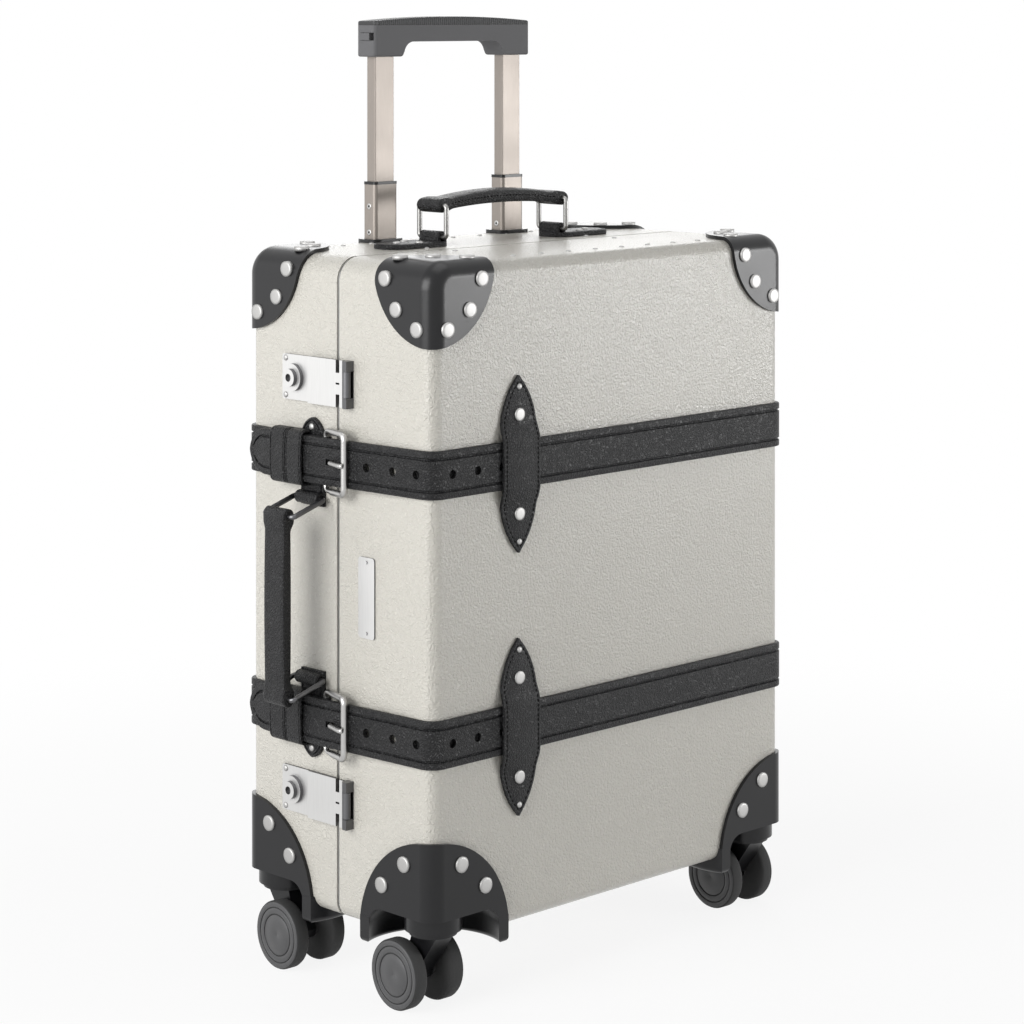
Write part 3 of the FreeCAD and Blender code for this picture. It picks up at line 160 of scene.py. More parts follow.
def part_of(tree: Tree, vector: Socket, axis: str) -> Socket:
    """Adds a split of a vector and returns one part."""
    return add(tree, "ShaderNodeSeparateXYZ", {"Vector": vector}).outputs[axis]


def coordinates(tree: Tree, label: str) -> Socket:
    """Adds the surface's coordinates and returns one kind."""
    return add(tree, "ShaderNodeTexCoord", {}).outputs[label]


def length_of(tree: Tree, vector: Socket) -> Socket:
    """Adds the length of a vector and returns it."""
    return add(tree, "ShaderNodeVectorMath", {0: vector}, operation="LENGTH").outputs["Value"]


def two_tone(tree: Tree, share: Socket, first: Socket | tuple, second: Socket | tuple) -> Socket:
    """Adds a mix of two colours and returns its result."""
    return add(tree, "ShaderNodeMix", {"Factor": share, "A": first, "B": second}, data_type="RGBA").outputs["Result"]


def seen_directly(tree: Tree) -> Socket:
    """Adds a test that is 1 for rays from the camera, a reflection or glass.

    Args:
        tree: The node tree.

    Returns:
        The socket with the result.
    """
    path = add(tree, "ShaderNodeLightPath", {}).outputs
    mirrored = calc(tree, "MAXIMUM", path["Is Camera Ray"], path["Is Glossy Ray"])
    return calc(tree, "MAXIMUM", mirrored, path["Is Transmission Ray"])


# Finishes


@dataclass(frozen=True)
class Finish:
    """A plain surface with a fine bump; other finishes add their own pattern."""

    name: str
    colour: Colour
    roughness: float
    metallic: float = 0.0
    specular: float = 0.5
    coat: float = 0.0
    coat_roughness: float = 0.2
    film: float = 0.26
    grain: float = 900.0
    relief: float = 0.00003
    # shade is painted shade: the share by which the relief's hollows are darkened, between the shade_stops
    shade: float = 0.06
    shade_stops: tuple[float, float] = (0.3, 0.7)
    wear_scale: float = 30.0
    wear_share: float = 0.12

    def material(self) -> bpy.types.Material:
        """Makes this finish's material on first use.

        Returns:
            The material.
        """
        found = bpy.data.materials.get(self.name)
        if found:
            return found
        material = bpy.data.materials.new(self.name)
        material.use_nodes = True
        tree = material.node_tree
        place = coordinates(tree, "Object")
        height = self.height(tree, place)
        bump = add(tree, "ShaderNodeBump", {"Strength": 1.0, "Distance": self.relief, "Height": height})
        inputs = {"Metallic": self.metallic, "Specular IOR Level": self.specular,
                  "Coat Weight": self.lacquer(tree), "Coat Roughness": self.coat_roughness,
                  "Normal": bump.outputs["Normal"], "Base Color": self.tint(tree, height),
                  "Roughness": self.wear(tree, place)}
        if self.coat:
            film = add(tree, "ShaderNodeBump", {"Distance": self.relief * self.film, "Height": height})
            inputs["Coat Normal"] = film.outputs["Normal"]
        feed(tree, tree.nodes["Principled BSDF"], inputs)
        return material

    def lacquer(self, tree: Tree) -> float | Socket:
        """Returns the weight of the coat, here the same all over."""
        return self.coat

    def height(self, tree: Tree, place: Socket) -> Socket:
        """Adds the relief pattern at object coordinates and returns it, from 0 to 1."""
        return add(tree, "ShaderNodeTexNoise", {"Scale": self.grain, "Detail": 3.0, "Vector": place}).outputs["Fac"]

    def tint(self, tree: Tree, height: Socket) -> Socket:
        """Adds the colour, with painted shade that darkens the hollows of the relief.

        Args:
            tree: The material's node tree.
            height: The relief.

        Returns:
            The socket with the colour.
        """
        # Painted shade: the colour is darkened in the hollows of the relief.
        dark = [c * (1 - self.shade) for c in self.colour]
        ramp = add(tree, "ShaderNodeValToRGB", {"Fac": height})
        for stop, position, colour in zip(ramp.color_ramp.elements, self.shade_stops, (dark, self.colour)):
            stop.position = position
            stop.color = (*colour, 1)
        return ramp.outputs["Color"]

    def wear(self, tree: Tree, place: Socket) -> Socket:
        """Adds a slow change of gloss.

        Args:
            tree: The material's node tree.
            place: Object coordinates.

        Returns:
            The socket with the roughness.
        """
        noise = add(tree, "ShaderNodeTexNoise", {"Scale": self.wear_scale, "Vector": place})
        spread = add(tree, "ShaderNodeMapRange", {
            "Value": noise.outputs["Fac"], "To Min": self.roughness * (1 - self.wear_share),
            "To Max": self.roughness * (1 + self.wear_share)})
        return spread.outputs["Result"]

    def pulled(self, tree: Tree, place: Socket, share: float, reach: float) -> Socket:
        """Adds noise that pulls a pattern about.

        Args:
            tree: The material's node tree.
            place: Object coordinates.
            share: The noise's scale as a share of the grain.
            reach: How far it pulls, in metres.

        Returns:
            The socket with the pulled coordinates.
        """
        noise = add(tree, "ShaderNodeTexNoise", {"Scale": self.grain * share, "Detail": 2.0, "Vector": place})
        pull = add(tree, "ShaderNodeVectorMath", {0: noise.outputs["Color"], 1: (reach, reach, reach), 2: place},
                   operation="MULTIPLY_ADD")
        return pull.outputs["Vector"]


@dataclass(frozen=True)
class PebbledBoard(Finish):
    """Lacquered fibre board with an irregular pebble, duller on top."""

    upward: tuple[float, float] = (0.6, 0.95)
    top_share: float = 0.15

    def lacquer(self, tree: Tree) -> float | Socket:
        """Adds the coat's weight, lower where the board faces up.

        Args:
            tree: The material's node tree.

        Returns:
            The socket with the weight.
        """
        dull = add(tree, "ShaderNodeMapRange", {
            "Value": part_of(tree, coordinates(tree, "Normal"), "Z"), "From Min": self.upward[0],
            "From Max": self.upward[1], "To Min": self.coat, "To Max": self.top_share * self.coat})
        return dull.outputs["Result"]

    def height(self, tree: Tree, place: Socket) -> Socket:
        """Adds pebbles of two sizes, pulled about by noise.

        Args:
            tree: The material's node tree.
            place: Object coordinates.

        Returns:
            The socket with the relief.
        """
        pulled = self.pulled(tree, place, 0.5, 0.004)
        pebble = add(tree, "ShaderNodeTexVoronoi", {"Scale": self.grain, "Smoothness": 0.6, "Vector": pulled},
                     feature="SMOOTH_F1")
        fine = add(tree, "ShaderNodeTexNoise", {"Scale": self.grain * 1.6, "Detail": 4.0, "Vector": pulled})
        mix = add(tree, "ShaderNodeMath", {0: pebble.outputs["Distance"], 1: -0.7, 2: fine.outputs["Fac"]},
                  operation="MULTIPLY_ADD")
        return mix.outputs["Value"]


@dataclass(frozen=True)
class GrainedLeather(Finish):
    """Leather with small rounded grains between fine valleys."""

    def height(self, tree: Tree, place: Socket) -> Socket:
        """Adds the grain.

        Args:
            tree: The material's node tree.
            place: Object coordinates.

        Returns:
            The socket with the relief.
        """
        pulled = self.pulled(tree, place, 0.4, 0.0016)
        grain = add(tree, "ShaderNodeTexVoronoi", {"Scale": self.grain, "Vector": pulled}, feature="DISTANCE_TO_EDGE")
        rounded = add(tree, "ShaderNodeMapRange", {"From Max": 0.35, "Value": grain.outputs["Distance"]},
                      interpolation_type="SMOOTHSTEP")
        return rounded.outputs["Result"]


@dataclass(frozen=True)
class PlainMetal(Finish):
    """Metal with hardly any texture."""

    metallic: float = 1.0
    grain: float = 700.0
    relief: float = 0.00001


@dataclass(frozen=True)
class BrushedMetal(Finish):
    """Metal with fine lines along z."""

    metallic: float = 1.0
    grain: float = 1600.0
    relief: float = 0.000012

    def height(self, tree: Tree, place: Socket) -> Socket:
        """Adds the brushed lines and returns their relief."""
        drawn = add(tree, "ShaderNodeMapping", {"Scale": (1.0, 1.0, 0.04), "Vector": place})
        return super().height(tree, drawn.outputs["Vector"])


@dataclass(frozen=True)
class LockMetal(BrushedMetal):
    """Brushed metal with painted shade on its sides, the faces that turn away from -x, and dark in front of a limit
    along y, in millimetres.
    """

    limit: float = -1000.0
    # dark is the colour in front of the limit and the painted shade on the sides
    dark: Colour = (0.13, 0.13, 0.135)
    wall_shade: tuple[float, float] = (-0.8, -0.4)

    def tint(self, tree: Tree, height: Socket) -> Socket:
        """Adds both colours, the dark one in front of the limit and as painted shade on the sides.

        Args:
            tree: The material's node tree.
            height: The relief.

        Returns:
            The socket with the colour.
        """
        ahead = calc(tree, "LESS_THAN", part_of(tree, coordinates(tree, "Object"), "Y"), self.limit * MM)
        # Painted shade: faces that turn away from -x take the dark colour.
        wall_shade = add(tree, "ShaderNodeMapRange", {"Value": part_of(tree, coordinates(tree, "Normal"), "X"),
                                                "From Min": self.wall_shade[0], "From Max": self.wall_shade[1]})
        either = calc(tree, "MAXIMUM", ahead, wall_shade.outputs["Result"])
        return two_tone(tree, either, super().tint(tree, height), (*self.dark, 1))


@dataclass(frozen=True)
class RibbedGrip(Finish):
    """Moulded plastic with ribs across x, and a dark joint below a limit along z, in millimetres."""

    joint: float = 0.0
    dark: Colour = (0.003, 0.003, 0.003)

    def height(self, tree: Tree, place: Socket) -> Socket:
        """Adds the ribs and returns their relief."""
        return add(tree, "ShaderNodeTexWave", {"Scale": self.grain, "Vector": place}).outputs["Fac"]

    def tint(self, tree: Tree, height: Socket) -> Socket:
        """Adds the colour, dark at the joint, and returns it."""
        above = calc(tree, "GREATER_THAN", part_of(tree, coordinates(tree, "Object"), "Z"), self.joint * MM)
        return two_tone(tree, above, (*self.dark, 1), super().tint(tree, height))


@dataclass(frozen=True)
class WovenCloth(Finish):
    """Plain woven cloth."""

    def height(self, tree: Tree, place: Socket) -> Socket:
        """Adds the threads, as crossed waves, and returns their relief."""
        waves = [add(tree, "ShaderNodeTexWave", {"Scale": self.grain, "Vector": place}, bands_direction=axis)
                 for axis in ("X", "Z")]
        return calc(tree, "MULTIPLY", *[wave.outputs["Fac"] for wave in waves])


# The shade of each finish is painted shade in the hollows of its relief.
BOARD = PebbledBoard("ivory_board", (0.72, 0.694, 0.626), 0.30, grain=520.0, relief=0.001, shade=0.24,
                     specular=0.35, coat=0.8, coat_roughness=0.26)
LEATHER = GrainedLeather("black_leather", (0.009, 0.009, 0.010), 0.42, grain=480.0, relief=0.0005, shade=0.4,
                         specular=0.30)
EDGE_PAINT = Finish("painted_leather_edge", (0.008, 0.008, 0.008), 0.5, specular=0.2)
THREAD = Finish("black_thread", (0.004, 0.004, 0.004), 0.7, grain=3000.0, relief=0.0001, specular=0.04)
MOULDING = Finish("black_moulding", (0.007, 0.007, 0.008), 0.30, grain=1400.0, specular=0.36)
NICKEL = PlainMetal("bright_nickel", (0.47, 0.465, 0.455), 0.30)
RIVET = PlainMetal("rivet_nickel", (0.42, 0.416, 0.408), 0.52)
WIRE = PlainMetal("wire_nickel", (0.27, 0.267, 0.26), 0.34)
DARK_METAL = PlainMetal("dark_nickel", (0.13, 0.13, 0.135), 0.32)
SATIN_NICKEL = BrushedMetal("satin_nickel", (0.43, 0.427, 0.42), 0.44)
# The lock metals carry painted shade on their sides that turn away from -x.
LOCK_METAL = LockMetal("lock_metal", (0.60, 0.597, 0.59), 0.44)
PLATE_METAL = LockMetal("plate_metal", (0.70, 0.697, 0.69), 0.44)
HASP_METAL = LockMetal("hasp_metal", (0.60, 0.597, 0.59), 0.44, limit=-10.6)
RIM_METAL = BrushedMetal("rim_metal", (0.07, 0.07, 0.07), 0.45, metallic=0.6, relief=0.00003)
CHAMPAGNE = BrushedMetal("champagne_tube", (0.27, 0.24, 0.215), 0.42, metallic=0.55, grain=1500.0, relief=0.00001)
GRIP = Finish("grip_plastic", (0.045, 0.046, 0.048), 0.46, grain=1600.0, relief=0.00004)
GRIP_TOP = RibbedGrip("grip_top", (0.030, 0.031, 0.033), 0.46, grain=143.0, relief=0.0006, shade=0.5, joint=713.0)
WHEEL = Finish("wheel_rubber", (0.010, 0.010, 0.011), 0.45, grain=1200.0, specular=0.35)
WHEEL_FACE = Finish("wheel_face", (0.060, 0.060, 0.062), 0.42, grain=1500.0)
LINING = WovenCloth("lining_cloth", (0.42, 0.37, 0.29), 0.85, grain=420.0, relief=0.0002, shade=0.25)
# Painted shade: a dark finish for discs that stand in for the shade inside holes.
HOLE_SHADE = Finish("painted_hole_shade", (0.006, 0.006, 0.006), 0.8, specular=0.1)
FLOOR = Finish("white_floor", (0.9, 0.9, 0.9), 0.9, shade=0.0)


# Mesh helpers


def stand(name: str, data: bpy.types.ID) -> Thing:
    """Puts a new object in the scene.

    Args:
        name: The object's name.
        data: Its mesh, lamp or camera.

    Returns:
        The object.
    """
    made = bpy.data.objects.new(name, data)
    bpy.context.scene.collection.objects.link(made)
    return made


class Draft:
    """Points and faces of one piece, in millimetres about the middle of the shell."""

    def __init__(self) -> None:
        """Starts with no points."""
        self.points: Row = []
        self.faces: list[tuple[int, ...]] = []

    def loft(self, rows: list[Row], round_trip: bool = False) -> "Draft":
        """Joins closed rows of points into a skin.

        Args:
            rows: Rows of equal length, each a closed loop.
            round_trip: Whether the last row joins the first; otherwise both ends are closed.

        Returns:
            This draft.
        """
        start = len(self.points)
        count = len(rows[0])
        for row in rows:
            self.points.extend(row)
        spans = len(rows) if round_trip else len(rows) - 1
        for i in range(spans):
            near = start + i * count
            far = start + (i + 1) % len(rows) * count
            for j in range(count):
                k = (j + 1) % count
                self.faces.append((near + j, near + k, far + k, far + j))
        if not round_trip:
            self.faces.append(tuple(start + j for j in reversed(range(count))))
            self.faces.append(tuple(start + (len(rows) - 1) * count + j for j in range(count)))
        return self

    def piece(self, name: str, finish: Finish, sharp: float = SHARP) -> Thing:
        """Makes the object.

        Args:
            name: The piece's name.
            finish: Its finish.
            sharp: Angle in degrees above which an edge stays sharp.

        Returns:
            The object, at the origin.
        """
        mesh = bpy.data.meshes.new(name)
        mesh.from_pydata([to_frame(p) for p in self.points], [], self.faces)
        work = bmesh.new()
        work.from_mesh(mesh)
        bmesh.ops.remove_doubles(work, verts=work.verts, dist=1e-6)
        bmesh.ops.recalc_face_normals(work, faces=work.faces)
        work.to_mesh(mesh)
        work.free()
        mesh.materials.append(finish.material())
        mesh.shade_smooth()
        mesh.set_sharp_from_angle(angle=math.radians(sharp))
        return stand(name, mesh)


def cutter(ring: Row, start: Vector, way: Vector) -> Thing:
    """Makes a straight cutter.

    Args:
        ring: Its outline about its start.
        start: Where it starts.
        way: Its length and direction.

    Returns:
        The cutter.
    """
    rows = [[start + p for p in ring], [start + way + p for p in ring]]
    return Draft().loft(rows).piece("cutter", EDGE_PAINT)


def settle(made: Thing) -> Thing:
    """Applies an object's modifiers into a plain mesh.

    Args:
        made: The object.

    Returns:
        The object.
    """
    depsgraph = bpy.context.evaluated_depsgraph_get()
    mesh = bpy.data.meshes.new_from_object(made.evaluated_get(depsgraph))
    mesh.name = made.name
    made.modifiers.clear()
    made.data = mesh
    return made


def carve(made: Thing, cutters: list[Thing]) -> Thing:
    """Cuts other objects out of a piece and removes them.

    Args:
        made: The piece.
        cutters: What is cut out.

    Returns:
        The piece.
    """
    for tool in cutters:
        modifier = made.modifiers.new("cut", "BOOLEAN")
        modifier.operation = "DIFFERENCE"
        modifier.solver = "EXACT"
        modifier.object = tool
    settle(made)
    for tool in cutters:
        bpy.data.objects.remove(tool)
    made.data.set_sharp_from_angle(angle=math.radians(SHARP))
    return made


def join(name: str, pieces: list[Thing]) -> Thing:
    """Joins pieces of one body into one object.

    Args:
        name: The joined piece's name.
        pieces: What is joined.

    Returns:
        The joined piece.
    """
    with bpy.context.temp_override(active_object=pieces[0], object=pieces[0], selected_objects=pieces,
                                   selected_editable_objects=pieces):
        bpy.ops.object.join()
    pieces[0].name = name
    pieces[0].data.name = name
    return pieces[0]


def set_on(made: Thing, body: str, slot: str, *replaced: str) -> Thing:
    """Puts a finished piece on its body.

    Args:
        made: The piece.
        body: The body that it rides on.
        slot: The record's material slot; not used.
        replaced: The CAD nodes that it stands for.

    Returns:
        The piece.
    """
    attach(made, body)
    if replaced:
        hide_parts(*replaced)
    log.info("%s rides on %s", made.name, body)
    return made


# Cut leather


@dataclass(frozen=True)
class Hide:
    """A cut piece of leather: its thickness, rounded edges and the line pressed in beside them."""

    thickness: float
    edge: float = 0.9
    inset: float = 3.0
    depth: float = 0.0
    breadth: float = 0.7
    edge_share: float = 0.4
    foot: float = 0.4
    foot_share: float = 0.2
    rounding: float = 0.3
    line_share: float = 0.25
    fade: float = 3.0
    room: float = 0.9

    def section(self, half: float, slope: float = 0.0) -> Pairs:
        """Works out the cross section.

        Args:
            half: Half the width there.
            slope: How fast the half width changes along the piece.

        Returns:
            Pairs of across and outward.
        """
        top = self.thickness
        edge = min(self.edge, half * self.edge_share)
        foot = min(self.foot, half * self.foot_share)
        inset = self.inset * math.hypot(1.0, slope)
        line = max(half - inset, half * self.line_share)
        depth = self.depth * max(0.0, min(1.0, (half - inset) / self.fade))
        flank = min(self.breadth, (half - edge - line) * self.room, line * self.room)
        right = [(half - foot, 0.0), (half, foot), (half, top - edge),
                 (half - self.rounding * edge, top - self.rounding * edge), (half - edge, top)]
        right += [(line + k * flank, top - deep * depth) for k, deep in ((1, 0), (0.4, 1), (-0.4, 1), (-1, 0))]
        return right + [(-across, out) for across, out in reversed(right)]


def sweep(draft: Draft, hide: Hide, run: Run, across: Vector, halves: list[float]) -> None:
    """Adds a strip of leather that follows a run.

    Args:
        draft: Where it is added.
        hide: Its cross section.
        run: Points of its inner face and the ways out.
        across: The way of its width.
        halves: Half widths along the run.
    """
    rows = []
    last = len(run) - 1
    for i, (point, out) in enumerate(run):
        before = max(i - 1, 0)
        after = min(i + 1, last)
        reach = (run[after][0] - run[before][0]).length
        slope = (halves[after] - halves[before]) / max(reach, 0.01)
        rows.append([point + across * a + out * h for a, h in hide.section(halves[i], slope)])
    draft.loft(rows)


def ease(share: float) -> float:
    """Returns a share from 0 to 1 with a slow start and end, held at those limits."""
    held = max(0.0, min(1.0, share))
    return held * held * (3 - 2 * held)


def evenly(reach: float, pitch: float) -> list[float]:
    """Returns places from -reach to reach that lie about a pitch apart."""
    count = int(2 * reach / pitch)
    return [reach * (2 * i / count - 1) for i in range(count + 1)]


def crowded(reach: float, steps: int) -> list[float]:
    """Returns places from -reach to reach that crowd towards both ends."""
    return [reach * math.sin(math.pi * (i / steps - 0.5)) for i in range(steps + 1)]


def bulge(size: float, foot: float, rise: float, power: float, bend: float) -> float:
    """Returns the height of a rounded face that falls from its middle, at size 0, to its foot, at size 1."""
    return foot + rise * (1 - size ** power) ** bend


# Repeated small pieces


@dataclass
class Seat:
    """Where one small piece sits: a point in millimetres, the way out of the surface and the way along it."""

    point: Vector
    outward: Vector
    along: Vector


@dataclass
class SmallTree:
    """Geometry Nodes tree that sets a small piece on every seat."""

    name: str
    finish: Finish

    def sizes(self) -> dict[str, float]:
        """Returns the piece's sizes in metres, by the names of their inputs."""
        raise NotImplementedError

    def shape(self, tree: Tree, given: bpy.types.Node) -> Socket:
        """Adds the piece from the given sizes and returns its geometry."""
        raise NotImplementedError

    def build(self) -> Tree:
        """Builds the tree, with the piece's sizes as named inputs.

        Returns:
            The tree.
        """
        tree = bpy.data.node_groups.new(self.name, "GeometryNodeTree")
        tree.interface.new_socket("Seats", in_out="INPUT", socket_type="NodeSocketGeometry")
        for label in self.sizes():
            tree.interface.new_socket(label, in_out="INPUT", socket_type="NodeSocketFloat")
        tree.interface.new_socket("Pieces", in_out="OUTPUT", socket_type="NodeSocketGeometry")
        given = tree.nodes.new("NodeGroupInput")
        smooth = add(tree, "GeometryNodeSetShadeSmooth", {"Geometry": self.shape(tree, given)})
        ways = [add(tree, "GeometryNodeInputNamedAttribute", {"Name": label}, data_type="FLOAT_VECTOR")
                for label in ("outward", "along")]
        turn = add(tree, "FunctionNodeAxesToRotation", {i: way.outputs["Attribute"] for i, way in enumerate(ways)},
                   primary_axis="Z", secondary_axis="X")
        many = add(tree, "GeometryNodeInstanceOnPoints", {
            "Points": given.outputs["Seats"], "Instance": smooth.outputs["Geometry"],
            "Rotation": turn.outputs["Rotation"]})
        real = add(tree, "GeometryNodeRealizeInstances", {"Geometry": many.outputs["Instances"]})
        dress = add(tree, "GeometryNodeSetMaterial", {"Geometry": real.outputs["Geometry"],
                                                      "Material": self.finish.material()})
        add(tree, "NodeGroupOutput", {"Pieces": dress.outputs["Geometry"]})
        return tree

    def spread(self, seats: list[Seat]) -> Thing:
        """Sets the pieces.

        Args:
            seats: Where they sit.

        Returns:
            One object with all of them, as a plain mesh.
        """
        mesh = bpy.data.meshes.new(self.name)
        mesh.from_pydata([to_frame(s.point) for s in seats], [], [])
        for label in ("outward", "along"):
            layer = mesh.attributes.new(label, "FLOAT_VECTOR", "POINT")
            for i, seat in enumerate(seats):
                layer.data[i].vector = getattr(seat, label).normalized()
        made = stand(self.name, mesh)
        modifier = made.modifiers.new("spread", "NODES")
        modifier.node_group = self.build()
        sizes = self.sizes()
        for item in modifier.node_group.interface.items_tree:
            if item.in_out == "INPUT" and item.name in sizes:
                modifier[item.identifier] = sizes[item.name]
        return settle(made)


@dataclass(frozen=True)
class Head:
    """Sizes of one kind of round head."""

    radius: float
    height: float
    crown: float


@dataclass
class HeadTree(SmallTree):
    """Geometry Nodes tree that sets a round head on every seat."""

    head: Head
    sides: int = 20
    rings: int = 4
    bend: float = 3.0

    def sizes(self) -> dict[str, float]:
        """Returns the head's sizes; its lower half is sunk in the surface."""
        head = self.head
        return {"Radius": head.radius * MM, "Height": 2 * head.height * MM, "Crown": head.crown * MM}

    def shape(self, tree: Tree, given: bpy.types.Node) -> Socket:
        """Adds a cylinder with a domed top.

        Args:
            tree: The node tree.
            given: The node with the sizes.

        Returns:
            The socket with the geometry.
        """
        size = given.outputs
        disc = add(tree, "GeometryNodeMeshCylinder", {
            "Vertices": self.sides, "Fill Segments": self.rings, "Radius": size["Radius"],
            "Depth": size["Height"]}, fill_type="TRIANGLE_FAN")
        place = add(tree, "GeometryNodeInputPosition", {}).outputs["Position"]
        flat = add(tree, "ShaderNodeCombineXYZ", {axis: part_of(tree, place, axis) for axis in ("X", "Y")})
        share = calc(tree, "DIVIDE", length_of(tree, flat.outputs["Vector"]), size["Radius"])
        drop = calc(tree, "MULTIPLY", calc(tree, "POWER", share, self.bend), size["Crown"])
        shift = add(tree, "ShaderNodeCombineXYZ", {"Z": calc(tree, "MULTIPLY", drop, -1.0)})
        top = add(tree, "FunctionNodeCompare", {0: part_of(tree, place, "Z")}, operation="GREATER_THAN")
        dome = add(tree, "GeometryNodeSetPosition", {
            "Geometry": disc.outputs["Mesh"], "Selection": top.outputs["Result"], "Offset": shift.outputs["Vector"]})
        return dome.outputs["Geometry"]


@dataclass
class StitchTree(SmallTree):
    """Geometry Nodes tree that lays a thread stitch on every seat."""

    length: float
    thickness: float

    def sizes(self) -> dict[str, float]:
        """Returns the stitch's sizes."""
        return {"Length": self.length * MM, "Thickness": self.thickness * MM}

    def shape(self, tree: Tree, given: bpy.types.Node) -> Socket:
        """Adds a long bead.

        Args:
            tree: The node tree.
            given: The node with the sizes.

        Returns:
            The socket with the geometry.
        """
        thickness = given.outputs["Thickness"]
        bead = add(tree, "GeometryNodeMeshUVSphere", {"Segments": 8, "Rings": 5, "Radius": 0.5})
        size = add(tree, "ShaderNodeCombineXYZ", {"X": given.outputs["Length"], "Y": thickness, "Z": thickness})
        shaped = add(tree, "GeometryNodeTransform", {"Geometry": bead.outputs["Mesh"],
                                                     "Scale": size.outputs["Vector"]})
        return shaped.outputs["Geometry"]


# The case and its fittings


@dataclass
class Case:
    """Outer sizes of the shell, in millimetres."""

    width: float = 384.0
    depth: float = 203.5
    bottom: float = 52.0
    top: float = 541.0
    edge: float = 10.0
    corner_steps: int = 8

    def corner_run(self, x_side: int, y_side: int) -> Run:
        """Follows one upright corner from the side to the front or back.

        Args:
            x_side: Sign of the side.
            y_side: Sign of the front or back.

        Returns:
            Points and outward ways.
        """
        centre = vec(x_side * (self.width / 2 - self.edge), y_side * (self.depth / 2 - self.edge), 0)
        angles = [math.pi / 2 * i / self.corner_steps for i in range(self.corner_steps + 1)]
        outs = [vec(x_side, 0, 0) * math.cos(a) + vec(0, y_side, 0) * math.sin(a) for a in angles]
        return [(centre + out * self.edge, out) for out in outs]


CASE = Case()


